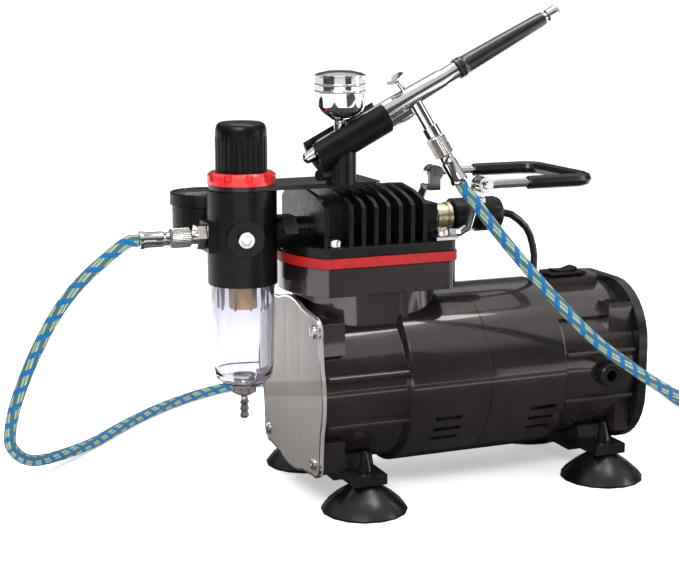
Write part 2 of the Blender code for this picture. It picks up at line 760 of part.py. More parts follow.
def lock_ring():
    """Red panel ring with coarse notches round its upper edge."""
    bottom = REG_TOP + 2 * GAP + BRACKET_T
    top = REG_TOP + 0.0100
    ring = turned("lock_ring", [(0.0180, top), (0.0195, top - 0.0014), (0.0195, bottom), (0.0121, bottom),
                                (0.0121, top)],
                  RED_PLASTIC, at=(REG_X, 0, 0))
    for index in range(10):
        angle = 2 * math.pi * (index + 0.35) / 10
        at = (REG_X + 0.0205 * math.cos(angle), 0.0205 * math.sin(angle), top)
        cut(ring, box(f"notch_{index}", (0.0050, 0.0045, 0.0090), at, turn=(0, 0, angle)))
    return ring


KNOB_BOTTOM = REG_TOP + 0.0103
KNOB_TOP = 0.2200


def pressure_knob():
    profile = [
        (0, KNOB_TOP), (0.0125, KNOB_TOP), (0.0141, KNOB_TOP - 0.0012), (0.0147, KNOB_TOP - 0.0040),
        (0.0147, KNOB_BOTTOM), (0.0122, KNOB_BOTTOM), (0.0122, KNOB_TOP - 0.0070), (0.0036,
                                                                                    KNOB_TOP - 0.0070),
        (0.0036, KNOB_TOP - 0.0040), (0, KNOB_TOP - 0.0040),
    ]
    knob = turned("pressure_knob", profile, BLACK_PLASTIC, at=(REG_X, 0, 0))
    for index in range(12):
        angle = 2 * math.pi * index / 12
        at = (REG_X + 0.0152 * math.cos(angle), 0.0152 * math.sin(angle),
              (KNOB_BOTTOM + KNOB_TOP - 0.0090) / 2)
        height = KNOB_TOP - 0.0090 - KNOB_BOTTOM + 0.0010
        cut(knob, box(f"flute_{index}", (0.0024, 0.0020, height), at, turn=(0, 0, angle)))
    return knob


def adjusting_screw():
    profile = [(0, KNOB_TOP - 0.0075), (0.0033, KNOB_TOP - 0.0075), (0.0033, 0.1760), (0.0084, 0.1760),
               (0.0084, 0.1700),
               (0, 0.1700)]
    turned("adjusting_screw", profile, STEEL, at=(REG_X, 0, 0), steps=20)


def filter_bowl():
    """Clear bowl that screws into the body; the drain valve fills the hole in its floor."""
    profile = [
        (0.0162, 0.1400), (0.0162, REG_BOTTOM - GAP), (0.0187, REG_BOTTOM - GAP), (0.0175, 0.0800),
        (0.0163, 0.0732), (0.0125, 0.0694), (0.0032, 0.0690), (0.0032, 0.0705), (0.0120, 0.0712),
        (0.0149, 0.0750), (0.0159, 0.0800), (0.0168, 0.1200), (0.0146, 0.1300), (0.0146, 0.1400),
    ]
    turned("filter_bowl", profile, CLEAR_PLASTIC, at=(REG_X, 0, 0))


def filter_element():
    profile = [(0.0036, 0.1440), (0.0036, 0.1280), (0.0078, 0.1280), (0.0078, 0.1140), (0.0046, 0.1140),
               (0.0046, 0.1120), (0.0100, 0.1090), (0.0100, 0.1078), (0, 0.1078)]
    turned("filter_element", [(0, 0.1440)] + profile, FILTER_BRONZE, at=(REG_X, 0, 0), steps=24)


def drain_valve():
    """Push valve in the bowl's floor: seat disc inside, hexagon and hose barb below."""
    ridges = []
    for index in range(3):
        level = 0.0600 - 0.0040 * index
        ridges += [(0.0020, level), (0.0029, level - 0.0028)]
    profile = [(0, 0.0738), (0.0062, 0.0738), (0.0070, 0.0728), (0.0070, 0.0712), (0.0029, 0.0710),
               (0.0029, 0.0686),
               (0.0058, 0.0686), (0.0072, 0.0670), (0.0072, 0.0635), (0.0050, 0.0622), (0.0022, 0.0615)]
    profile += ridges + [(0.0020, 0.0478), (0, 0.0478)]
    turned("drain_valve", profile, NICKEL, at=(REG_X, 0, 0), steps=12)


def inlet_fitting():
    """Black hexagon between the head and the regulator, with a bright nipple."""
    hexa = slab("inlet_fitting", hexagon(0.0190), 0.0080, BLACK_PAINT, at=(-0.1085, 0, PORT_Z),
                turn=FACING_X)
    nipple_at = REG_X + REG_R + 0.0025 + GAP
    end = -0.1040 - GAP
    nipple = rod("inlet_nipple", 0.0060, end - nipple_at, ((end + nipple_at) / 2, 0, PORT_Z), ALONG_X)
    return join(hexa, nipple)


def outlet_nipple():
    """Hexagon and neck on the outlet port, for the hose's nut."""
    face = REG_X - REG_R - 0.0025 - GAP
    hexa = slab("outlet_nipple", hexagon(0.0130), 0.0050, NICKEL, at=(face - 0.0025, 0, PORT_Z),
                turn=FACING_X)
    neck = rod("outlet_neck", 0.0040, 0.0030, (face - 0.0060, 0, PORT_Z), ALONG_X, sides=16)
    return join(hexa, neck)


def gauge():
    """Round gauge lying face up on an elbow behind the body."""
    profile = [
        (GAUGE_R, 0.1762), (GAUGE_R + 0.0005, 0.1755), (GAUGE_R + 0.0005, 0.1690), (GAUGE_R - 0.0008,
                                                                                    0.1685),
        (GAUGE_R - 0.0008, 0.1520), (GAUGE_R - 0.0030, 0.1500), (0, 0.1500), (0, 0.1725),
        (GAUGE_R - 0.0016, 0.1725), (GAUGE_R - 0.0016, 0.1762),
    ]
    case = turned("gauge_case", profile, BLACK_PLASTIC,
                  at=(GAUGE_X, GAUGE_Y, 0))
    join(case, rod("gauge_stem", 0.0050, 0.0120, (GAUGE_X + 0.0040, GAUGE_Y - 0.0090, 0.1480)),
         rod("gauge_elbow", 0.0050, 0.0180, (GAUGE_X + 0.0040, REG_R + GAP + 0.0088, 0.1470), ALONG_Y))
    return case


def gauge_needle():
    needle = rod("gauge_needle", 0.0020, 0.0012, (GAUGE_X, GAUGE_Y, 0.1735), finish=RED_PLASTIC, sides=12)
    return join(needle, box("pointer", (0.0011, 0.0160, 0.0007), (GAUGE_X, GAUGE_Y - 0.0067, 0.1735)))


# ---------------------------------------------------------------- bracket and airbrush holder

def holder_bracket():
    """Steel strip clamped under the lock ring that carries the airbrush holder over the fins."""
    outline = arc((REG_X, 0), 0.0190, 60, 300, 12) + [(-0.0600, -0.0190), (-0.0560, -0.0150),
                                                      (-0.0560, 0.0190)]
    slab("holder_bracket", outline, BRACKET_T, BLACK_PAINT,
         at=(0, 0, REG_TOP + GAP + BRACKET_T / 2), holes=(circle(0.0121, 28, (REG_X, 0)),))


def brush_point(along, across=0.0, side=0.0):
    """A place on the airbrush: along its axis from the tip, across it upwards, and sideways."""
    return Vector((
        BRUSH_TIP[0] + along * math.cos(BRUSH_SLOPE) - across * math.sin(BRUSH_SLOPE),
        BRUSH_TIP[1] + side,
        BRUSH_TIP[2] + along * math.sin(BRUSH_SLOPE) + across * math.cos(BRUSH_SLOPE),
    ))


ALONG_BRUSH = (0, math.pi / 2 - BRUSH_SLOPE, 0)
CRADLE_FROM = 0.0060
CRADLE_LENGTH = 0.0470


def airbrush_holder():
    """Fluted post with a slanted half-pipe cradle, bored for the airbrush and open at the top."""
    post_bottom = REG_TOP + 2 * GAP + BRACKET_T
    post = rod("airbrush_holder", 0.0087, 0.2080 - post_bottom,
               (-0.0844, BRUSH_TIP[1], (0.2080 + post_bottom) / 2),
               finish=BLACK_PLASTIC)
    for index in range(10):
        angle = 2 * math.pi * (index + 0.5) / 10
        at = (-0.0844 + 0.0092 * math.cos(angle), BRUSH_TIP[1] + 0.0092 * math.sin(angle), 0.1920)
        cut(post, box(f"post_flute_{index}", (0.0022, 0.0020, 0.0400), at, turn=(0, 0, angle)))
    middle = brush_point(CRADLE_FROM + CRADLE_LENGTH / 2, -0.0010)
    join(post, rod("cradle", 0.0105, CRADLE_LENGTH, middle, ALONG_BRUSH, sides=32))
    bore = rod("cradle_bore", 0.0068, 0.080, brush_point(0.030), ALONG_BRUSH, sides=32)
    mouth = box("cradle_mouth", (0.080, 0.0136, 0.030), brush_point(0.030, 0.0150),
                turn=(0, -BRUSH_SLOPE, 0))
    screw = rod("clamp_screw", 0.0032, 0.0120, (-0.0950, BRUSH_TIP[1] - 0.004, 0.1915),
                (0, math.pi / 2, 0.5), sides=16)
    return join(cut(post, bore, mouth), screw)


# ---------------------------------------------------------------- handle

def handle_post(name, side):
    """Chrome rod from the head's end up to the handle's pivot, with a flat foot and a knuckle."""
    y_at = side * HANDLE_HALF
    rise = HEAD_BASE_TOP + GAP + 0.0034
    points = [
        (-0.0190, side * 0.0310, rise), (-0.0130, side * 0.0325, rise), (-0.0085, side * 0.0345,
                                                                         rise + 0.0035),
        (-0.0070, y_at, rise + 0.0110), (PIVOT_X - 0.0040, y_at, 0.1745),
    ]
    post = wire(name, smooth_route(points, 0.0065), 0.0024, CHROME)
    foot_z = HEAD_BASE_TOP + GAP + FOOT_T / 2
    foot = box(f"{name}_foot", (0.0140, 0.0110, FOOT_T), (-0.0225, side * 0.0310, foot_z))
    foot_hole = rod(f"{name}_foot_hole", BOLT_R + GAP, 0.0100, (-0.0240, side * 0.0310, foot_z), sides=16)
    fork = rod(f"{name}_fork", EYE_R, 0.0034, (PIVOT_X, y_at - side * 0.0058, PIVOT_Z), ALONG_Y, sides=20)
    web = box(f"{name}_web", (0.0072, 0.0034, 0.0104), (PIVOT_X - 0.0010, y_at - side * 0.0058,
                                                        PIVOT_Z - 0.0055))
    bridge = box(f"{name}_bridge", (0.0066, 0.0100, 0.0026),
                 (PIVOT_X - 0.0035, y_at - side * 0.0025, PIVOT_Z - 0.0088))
    pin = rod(f"{name}_pin", 0.0019, 0.0140, (PIVOT_X, y_at - side * 0.0010, PIVOT_Z), ALONG_Y, sides=14)
    return cut(join(post, foot, fork, web, bridge, pin), foot_hole)


def handle_route(reach_from):
    """Points of the U-shaped rod from one leg, round the far bar, to the other leg."""
    corner = 0.0100
    far = PIVOT_X + HANDLE_REACH
    points = [(reach_from, -HANDLE_HALF, PIVOT_Z)]
    points += [(x, y, PIVOT_Z) for x, y in arc((far - corner, -HANDLE_HALF + corner), corner, -90, 0, 5)]
    points += [(x, y, PIVOT_Z) for x, y in arc((far - corner, HANDLE_HALF - corner), corner, 0, 90, 5)]
    points.append((reach_from, HANDLE_HALF, PIVOT_Z))
    return points


def about_pivot(obj, pivot):
    """Move an object's origin to its pivot, its shape staying in place."""
    shift = obj.rotation_euler.to_matrix().inverted() @ (obj.location - Vector(pivot))
    obj.data.transform(Matrix.Translation(shift))
    obj.location = pivot
    return obj


HANDLE_PIVOT = (PIVOT_X, 0, PIVOT_Z)


def handle():
    frame = about_pivot(wire("handle_rod", handle_route(PIVOT_X + 0.0040), ROD_R, CHROME), HANDLE_PIVOT)
    for side in (-1, 1):
        eye_at = (PIVOT_X, side * HANDLE_HALF, PIVOT_Z)
        join(frame, rod(f"eye_{side}", EYE_R, 0.0060, eye_at, ALONG_Y, sides=20))
    for side in (-1, 1):
        cut(frame, rod(f"eye_hole_{side}", 0.0022, 0.0200, (PIVOT_X, side * HANDLE_HALF, PIVOT_Z), ALONG_Y,
                       sides=14))
    grip = about_pivot(wire("handle_grip", handle_route(0.0300), GRIP_R, BLACK_RUBBER), HANDLE_PIVOT)
    hollow = wire("grip_hollow", handle_route(0.0200), ROD_R + 2 * GAP)
    cut(grip, hollow)


# ---------------------------------------------------------------- pressure switch, cable, rocker

def pressure_switch():
    face = -0.0190 + GAP
    turned("brass_fitting", [(0, 0.0148), (0.0055, 0.0148), (0.0085, 0.0140), (0.0085, 0.0118),
                             (0.0070, 0.0110),
                             (0.0078, 0.0105), (0.0078, 0.0045), (0.0068, 0.0040), (0.0068, 0), (0,
                                                                                                 0)], BRASS,
           at=(face, 0, SWITCH_Z), turn=ALONG_X)
    body_at = face + 0.0148 + GAP
    profile = [(0, 0.0335), (0.0072, 0.0335), (0.0095, 0.0320), (0.0105, 0.0290), (0.0105, 0.0170),
               (0.0085, 0.0160),
               (0.0085, 0.0130), (0.0105, 0.0120), (0.0105, 0.0010), (0.0095, 0), (0, 0)]
    turned("pressure_switch", profile, BLACK_PLASTIC, at=(body_at, 0, SWITCH_Z), turn=ALONG_X)
    end = body_at + 0.0355 + GAP
    points = [(end, 0, SWITCH_Z), (0.0390, 0, 0.1575), (0.0500, 0, 0.1480), (CABLE_X, 0, 0.1330),
              (CABLE_X, 0, 0.1220),
              (CABLE_X, 0, 0.1115)]
    lead = [(end - 0.0020, 0, SWITCH_Z)]
    route = lead + smooth_route(points, 0.0065, start=(1, 0, 0), end=(0, 0, -1))
    wire("switch_cable", route, 0.0023, BLACK_RUBBER)


def rocker():
    """Rocker switch let into the flat on top of the rear housing."""
    base = box("rocker_base", (0.0250, 0.0170, 0.0022), (0.0760, 0, 0.1180 + GAP + 0.0011), BLACK_PLASTIC,
               bevel=0.0006)
    well = box("rocker_can", (0.0208, 0.0128, 0.0150), (0.0760, 0, 0.1118))
    pocket = box("rocker_pocket", (0.0170, 0.0098, 0.0140), (0.0760, 0, 0.1160))
    cut(join(base, well), pocket)
    outline = [(-0.0068, -0.0030), (0.0068, -0.0030), (0.0076, 0.0040), (0.0000, 0.0020), (-0.0076, 0.0026)]
    slab("rocker_switch", outline, 0.0092, BLACK_PLASTIC, at=(0.0760, 0, 0.1190), turn=ALONG_Y)


def cable_grommet():
    """Round rubber grommet for the mains cord, low on the camera side."""
    profile = [(0.0066, 0.0060), (0.0075, 0.0052), (0.0075, 0.0004), (0.0060, 0.0004), (0.0060, -0.0060),
               (0.0035, -0.0060), (0.0035, 0.0060)]
    turned("cable_grommet", profile, BLACK_RUBBER, at=(0.0800, -END_R - 0.0003, 0.0645), turn=ALONG_Y,
           steps=24)


# ---------------------------------------------------------------- airbrush

def brush_turned(name, profile, finish, along=0.0, steps=24):
    """A turned piece on the airbrush's axis, its profile's height running tailwards."""
    return turned(name, profile, finish, at=brush_point(along), turn=ALONG_BRUSH, steps=steps)


def stem_point(down):
    """A place on the air valve, which stands square to the axis and leans to the camera side."""
    root = brush_point(STEM_AT)
    return root + stem_direction() * down


def stem_direction():
    square = Vector((math.sin(BRUSH_SLOPE), 0, -math.cos(BRUSH_SLOPE)))
    return (square * math.cos(STEM_ROLL) + Vector((0, -1, 0)) * math.sin(STEM_ROLL)).normalized()


def stem_turn():
    return (-stem_direction()).to_track_quat("Z", "Y").to_euler()


def airbrush_body():
    profile = [
        (0, 0.1045), (0.0049, 0.1045), (0.0049, 0.0960), (0.0054, 0.0940), (0.0060, 0.0560), (0.0060,
                                                                                              0.0120),
        (0.0048, 0.0092), (0.0042, 0.0090), (0.0030, 0.0010), (0.0014, 0.0), (0, 0),
    ]
    body = brush_turned("airbrush_body", profile, CHROME, steps=20)
    stem = rod("air_stem", 0.0036, 0.0260, stem_point(0.0130), stem_turn(), sides=20)
    valve = rod("air_valve", 0.0048, 0.0060, stem_point(0.0232), stem_turn(), sides=20)
    guard_from = brush_point(0.0545, -0.0072)
    guard_to = brush_point(0.0715, -0.0066)
    guard = box("guard", (0.0170, 0.0024, 0.0040), (guard_from + guard_to) / 2, turn=(0, -BRUSH_SLOPE, 0))
    slot = box("trigger_slot", (0.0100, 0.0026, 0.0080), brush_point(TRIGGER_AT, 0.0040),
               turn=(0, -BRUSH_SLOPE, 0))
    cup_seat = rod("cup_seat", 0.0036, 0.0080, (CUP_X, BRUSH_TIP[1], CUP_SEAT_TOP - 0.0040), sides=20)
    paint_way = rod("paint_way", 0.0018, 0.0100, (CUP_X, BRUSH_TIP[1], 0.2170), sides=12)
    return cut(join(body, stem, valve, guard, cup_seat), slot, paint_way)


CUP_SEAT_TOP = 0.2196


def paint_cup():
    """Gravity cup, open at the top and bored at the bottom."""
    rim = 0.2452
    profile = [
        (0.0140, rim), (0.0140, 0.2292), (0.0125, 0.2262), (0.0070, 0.2222), (0.0036, 0.2210),
        (0.0036, CUP_SEAT_TOP + GAP), (0.0018, CUP_SEAT_TOP + GAP), (0.0018, 0.2216), (0.0064, 0.2232),
        (0.0116, 0.2270), (0.0128, 0.2296), (0.0128, rim),
    ]
    turned("paint_cup", profile, CHROME, at=(CUP_X, BRUSH_TIP[1], 0))


def cup_lid():
    under = 0.2452 + GAP
    profile = [(0, under + 0.0034), (0.0060, under + 0.0032), (0.0120, under + 0.0020),
               (0.0146, under + 0.0008),
               (0.0146, under), (0.0122, under), (0.0122, under - 0.0020), (0, under - 0.0020)]
    turned("cup_lid", profile, CHROME, at=(CUP_X, BRUSH_TIP[1], 0))


def trigger():
    """Thumb lever standing in the body's slot, with a round pad on top."""
    root = brush_point(TRIGGER_AT, 0.0040)
    lever = box("trigger", (0.0022, 0.0018, 0.0110), root, CHROME)
    lever.location = brush_point(TRIGGER_AT, 0.0062)
    lever.rotation_euler = Euler((0, -BRUSH_SLOPE, 0))
    about_pivot(lever, brush_point(TRIGGER_AT, 0.0012))
    pad_turn = (0, -BRUSH_SLOPE - math.radians(12), 0)
    pad = rod("trigger_pad", 0.0050, 0.0020, brush_point(TRIGGER_AT + 0.0002, 0.0126), pad_turn, sides=20)
    return join(lever, pad)


def tail_handle():
    start = 0.1045 + GAP
    profile = [(0, 0.1680), (0.0038, 0.1680), (0.0041, 0.1660), (0.0050, 0.1250), (0.0055, 0.1100),
               (0.0060, 0.1092),
               (0.0060, start + 0.0004), (0.0056, start), (0, start)]
    brush_turned("tail_handle", profile, BLACK_PAINT)
    knob = [(0, 0.0098), (0.0028, 0.0098), (0.0036, 0.0086), (0.0036, 0.0026), (0.0024, 0.0018),
            (0.0024, 0.0), (0, 0.0)]
    brush_turned("tail_knob", knob, CHROME, along=0.1680 + GAP, steps=20)


def hose_nuts():
    """The hose's swivel nuts and crimped ferrules, at the regulator and at the airbrush."""
    def nut_profile(neck_r):
        return [(0, 0.0), (neck_r, 0.0), (0.0056, -0.0006), (0.0056, -0.0112), (0.0044, -0.0118),
                (0.0040, -0.0140),
                (0.0042, -0.0150), (0.0045, -0.0270), (0.0052, -0.0300), (0, -0.0300)]
    start = REG_X - REG_R - 0.0025 - GAP - 0.0075 - GAP
    turned("hose_nut_regulator", nut_profile(0.0050), NICKEL, at=(start, 0, PORT_Z), turn=ALONG_X)
    turned("hose_nut_airbrush", nut_profile(0.0050), NICKEL, at=stem_point(0.0262 + GAP), turn=stem_turn(),
           steps=24)


# ---------------------------------------------------------------- hose

def hose_ends():
    regulator_end = Vector((REG_X - REG_R - 0.0025 - GAP - 0.0075 - GAP - 0.0300 - GAP, 0, PORT_Z))
    airbrush_end = stem_point(0.0262 + GAP + 0.0300 + GAP)
    return regulator_end, airbrush_end


FLOOR_Z = HOSE_R + 0.0001
LEFT_ROUTE = (
    (-0.2124, 0.002, 0.1475), (-0.2276, 0.006, 0.1333), (-0.2400, 0.011, 0.1164), (-0.2498, 0.016, 0.0973),
    (-0.2573, 0.022, 0.0781), (-0.2631, 0.030, 0.0570), (-0.2639, 0.043, 0.0360), (-0.2595, 0.054, 0.0256),
    (-0.2520, 0.065, 0.0171), (-0.2422, 0.077, 0.0115), (-0.2293, 0.091, 0.0080), (-0.2130, 0.108, 0.0055),
    (-0.1930, 0.130, FLOOR_Z), (-0.1561, 0.170, FLOOR_Z), (-0.1156, 0.204, FLOOR_Z), (-0.0700, 0.227,
                                                                                      FLOOR_Z),
    (-0.0250, 0.231, FLOOR_Z), (0.0120, 0.224, FLOOR_Z), (0.0450, 0.210, FLOOR_Z),
)
RIGHT_ROUTE = (
    (-0.0099, -0.0410, 0.1755), (-0.0010, -0.0480, 0.1614), (0.0098, -0.0545, 0.1461), (0.0337, -0.0620,
                                                                                        0.1177),
    (0.0617, -0.0645, 0.0901), (0.0909, -0.0625, 0.0692), (0.1150, -0.0575, 0.0545), (0.1420, -0.0490,
                                                                                      0.0400),
    (0.1700, -0.0350, 0.0265), (0.1930, -0.0130, 0.0155), (0.2065, 0.0150, 0.0080), (0.2120, 0.0430,
                                                                                     0.0045),
    (0.2160, 0.0690, FLOOR_Z), (0.2225, 0.0940, FLOOR_Z), (0.2280, 0.1180, FLOOR_Z), (0.2300, 0.1420,
                                                                                      FLOOR_Z),
    (0.2210, 0.1680, FLOOR_Z), (0.1960, 0.1900, FLOOR_Z), (0.1620, 0.2010, FLOOR_Z), (0.1250, 0.2030,
                                                                                      FLOOR_Z),
)


def led_route(exit_at, exit_way, points, end_at, end_way):
    """A short straight lead out of a ferrule, then a smooth curve to the end."""
    lead_end = exit_at + exit_way * 0.0050
    return [exit_at] + smooth_route((lead_end, *points, end_at), 0.0190, start=exit_way, end=end_way)


def hose():
    regulator_end, airbrush_end = hose_ends()
    clear = COIL_MID_R + 2 * HOSE_R + 2 * GAP
    left_end = (COIL_X - 0.0040, COIL_Y + clear, FLOOR_Z)
    right_end = (COIL_X + 0.0040, COIL_Y + clear, FLOOR_Z)
    left = led_route(regulator_end, Vector((-1, 0, 0)), LEFT_ROUTE, left_end, Vector((1, 0, 0)))
    right = led_route(airbrush_end, stem_direction(), RIGHT_ROUTE, right_end, Vector((-1, 0, 0)))
    for name, route in (("hose_left", left), ("hose_right", right)):
        wire(name, [(x, y, max(z, FLOOR_Z)) for x, y, z in route], HOSE_R, HOSE_BLUE)
    height = COIL_TURNS * 2 * HOSE_R
    outer = COIL_MID_R + HOSE_R + GAP
    inner = COIL_MID_R - HOSE_R - GAP
    turned("hose_coil", [(outer, height), (outer, 0.0001), (inner, 0.0001), (inner, height)], HOSE_BLUE,
           at=(COIL_X, COIL_Y, 0), steps=32)


# ---------------------------------------------------------------- assembly

def build():
    crankcase()
    rear_housing()
    bearing("bearing_front", -0.0485)
    bearing("bearing_rear", 0.0855)
    front_end_plate()
    rear_end_cover()
    stator()
    rotor_shaft()
    cooling_fan()
    piston()
    connecting_rod()
    cylinder_sleeve()
    valve_plate()
    head_gasket()
    cylinder_head()
    head_bolts()
    foot_bracket("foot_bracket_left", -FOOT_X)
    foot_bracket("foot_bracket_right", FOOT_X)
    suction_feet()
    regulator_body()
    lock_ring()
    pressure_knob()
    adjusting_screw()
    filter_bowl()
    filter_element()
    drain_valve()
    inlet_fitting()
    outlet_nipple()
    gauge()
    gauge_needle()
    holder_bracket()
    airbrush_holder()
    handle_post("handle_post_front", -1)
    handle_post("handle_post_rear", 1)
    handle()
    pressure_switch()
    rocker()
    cable_grommet()
    airbrush_body()
    paint_cup()
    cup_lid()
    trigger()
    tail_handle()
    hose_nuts()
    hose()


build()
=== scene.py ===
"""Airbrush compressor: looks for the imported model, with its hose, materials, studio and camera."""

import json
import math

import bmesh
import bpy
from mathutils import Matrix, Vector


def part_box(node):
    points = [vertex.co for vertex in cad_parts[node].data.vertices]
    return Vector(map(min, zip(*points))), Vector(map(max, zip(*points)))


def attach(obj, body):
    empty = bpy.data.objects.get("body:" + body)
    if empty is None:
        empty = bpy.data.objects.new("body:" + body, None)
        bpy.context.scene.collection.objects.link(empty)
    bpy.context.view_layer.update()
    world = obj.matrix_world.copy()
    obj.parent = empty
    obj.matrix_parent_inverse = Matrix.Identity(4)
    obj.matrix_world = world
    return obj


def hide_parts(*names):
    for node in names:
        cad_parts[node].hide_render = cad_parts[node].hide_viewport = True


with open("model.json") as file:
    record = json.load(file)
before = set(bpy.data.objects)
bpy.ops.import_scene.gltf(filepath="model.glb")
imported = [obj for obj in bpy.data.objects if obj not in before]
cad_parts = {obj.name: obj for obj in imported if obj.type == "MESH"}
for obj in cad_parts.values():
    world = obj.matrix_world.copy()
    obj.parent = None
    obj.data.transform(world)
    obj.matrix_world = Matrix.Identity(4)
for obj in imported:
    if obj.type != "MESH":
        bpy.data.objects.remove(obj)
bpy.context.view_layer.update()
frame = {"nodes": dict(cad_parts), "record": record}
NODES = frame["nodes"]

SHIFT = 0.0286  # from the motor housing's seam to the frame's origin, along X
AXIS_Z = 0.0660
REG_AXIS = Vector((-0.1350 + SHIFT, 0, 0))
PORT_Z = 0.1560
GAUGE_AXIS = Vector((-0.1445 + SHIFT, 0.0412, 0))
CUP_AXIS = Vector((-0.0849 + SHIFT, -0.0250, 0))
CAMERA_AT = Vector((-0.3656, -0.7866, 0.2883))

# front end plate
PLATE_R = 0.0520
EAR_SPREAD = 0.0385
EAR_R = 0.0085
HEAD_RISE = 0.0018  # of its screw heads, above its face

# long ribs of the motor housings
RIB_CROWN_REACH = 0.0500
RIB_CROWN_R = 0.0016
RIB_SPANS = ((-0.1010, -0.0520), (0.0520, 0.0985))
RIB_ANGLES = (14, -19)

# ribs in the bowl's neck
BOWL_RIBS = 10
BOWL_RIB_REACH = 0.0140
BOWL_RIB_BOTTOM = 0.1140


# ---------------------------------------------------------------- camera

def camera():
    data = bpy.data.cameras.new("camera")
    data.lens = 77.8
    data.sensor_width = 36.0
    data.clip_end = 50.0
    obj = bpy.data.objects.new("camera", data)
    obj.location = CAMERA_AT
    obj.rotation_euler = (math.radians(78.92), 0, math.radians(-22.08))
    bpy.context.scene.collection.objects.link(obj)
    bpy.context.scene.camera = obj


# ---------------------------------------------------------------- node helpers

class Look:
    """A material with short calls for its nodes."""

    def __init__(self, name):
        self.material = bpy.data.materials.new(name)
        self.material.use_nodes = True
        self.nodes = self.material.node_tree.nodes
        self.links = self.material.node_tree.links
        self.shader = self.nodes["Principled BSDF"]

    def set(self, **values):
        for key, value in values.items():
            self.shader.inputs[key.replace("_", " ")].default_value = value
        return self

    def node(self, kind, **values):
        made = self.nodes.new(kind)
        for key, value in values.items():
            setattr(made, key, value)
        return made

    def link(self, source, target):
        self.links.new(source, target)

    def math(self, operation, first, second=None):
        made = self.node("ShaderNodeMath", operation=operation)
        for socket, value in zip(made.inputs, (first, second)):
            if value is None:
                continue
            if isinstance(value, (int, float)):
                socket.default_value = value
            else:
                self.link(value, socket)
        return made.outputs[0]

    def place(self, stretch=(1, 1, 1), kind="Object"):
        coordinates = self.node("ShaderNodeTexCoord")
        mapping = self.node("ShaderNodeMapping")
        mapping.inputs["Scale"].default_value = stretch
        self.link(coordinates.outputs[kind], mapping.inputs["Vector"])
        return mapping.outputs[0]

    def noise(self, scale, detail=4, stretch=(1, 1, 1)):
        made = self.node("ShaderNodeTexNoise")
        made.inputs["Scale"].default_value = scale
        made.inputs["Detail"].default_value = detail
        self.link(self.place(stretch), made.inputs["Vector"])
        return made.outputs["Fac"]

    def cells(self, scale, output="Color"):
        made = self.node("ShaderNodeTexVoronoi")
        made.inputs["Scale"].default_value = scale
        self.link(self.place(), made.inputs["Vector"])
        return made.outputs[output]

    def ramp(self, value, *stops):
        made = self.node("ShaderNodeValToRGB")
        elements = made.color_ramp.elements
        while len(elements) < len(stops):
            elements.new(0.5)
        for element, (position, colour) in zip(elements, stops):
            element.position = position
            element.color = (*colour, 1) if isinstance(colour, tuple) else (colour, colour, colour, 1)
        self.link(value, made.inputs[0])
        return made.outputs[0]

    def mix(self, factor, first, second):
        made = self.node("ShaderNodeMix", data_type="RGBA")
        for socket, value in zip((made.inputs[0], made.inputs[6], made.inputs[7]), (factor, first, second)):
            if isinstance(value, tuple):
                socket.default_value = (*value, 1)
            elif isinstance(value, float):
                socket.default_value = value
            else:
                self.link(value, socket)
        return made.outputs[2]

    def colour(self, value):
        self.link(value, self.shader.inputs["Base Color"])
        return self

    def rough(self, value, low, high):
        self.link(self.ramp(value, (0.3, low), (0.7, high)), self.shader.inputs["Roughness"])
        return self

    def bump(self, height, strength, depth=0.0003, rounding=0.0):
        made = self.node("ShaderNodeBump")
        made.inputs["Strength"].default_value = strength
        made.inputs["Distance"].default_value = depth
        self.link(height, made.inputs["Height"])
        if rounding:
            bevel = self.node("ShaderNodeBevel", samples=4)
            bevel.inputs["Radius"].default_value = rounding
            self.link(bevel.outputs[0], made.inputs["Normal"])
        self.link(made.outputs[0], self.shader.inputs["Normal"])
        return self


# ---------------------------------------------------------------- materials

def metallic_paint():
    """Dark bronze-black enamel with a fine flake under a clear coat."""
    look = Look("metallic_paint").set(Metallic=0.75, Coat_Weight=1.0, Coat_Roughness=0.04, Coat_IOR=1.5)
    flake = look.ramp(look.cells(2600), (0.55, (0.026, 0.021, 0.020)), (1.0, (0.20, 0.160, 0.145)))
    cloud = look.ramp(look.noise(16), (0.35, (0.034, 0.027, 0.026)), (0.65, (0.058, 0.047, 0.044)))
    look.colour(look.mix(0.22, cloud, flake))
    look.rough(look.noise(220), 0.19, 0.28)
    return look.bump(look.noise(900, 2), 0.03, 0.0001, 0.0012).material


def head_paint():
    """Black semi-gloss paint over a cast surface."""
    look = Look("head_paint").set(Specular_IOR_Level=0.28, Coat_Weight=0.14, Coat_Roughness=0.12)
    look.colour(look.ramp(look.noise(60), (0.35, (0.002, 0.002, 0.002)), (0.70, (0.006, 0.005, 0.005))))
    look.rough(look.noise(180), 0.24, 0.38)
    return look.bump(look.noise(420, 5), 0.20, 0.0002, 0.0008).material


def black_paint():
    look = Look("black_paint").set(Specular_IOR_Level=0.4, Coat_Weight=0.3, Coat_Roughness=0.10)
    look.colour(look.ramp(look.noise(90), (0.35, (0.004, 0.004, 0.005)), (0.70, (0.010, 0.010, 0.011))))
    look.rough(look.noise(150), 0.24, 0.36)
    return look.bump(look.noise(500), 0.08, 0.0001, 0.0004).material


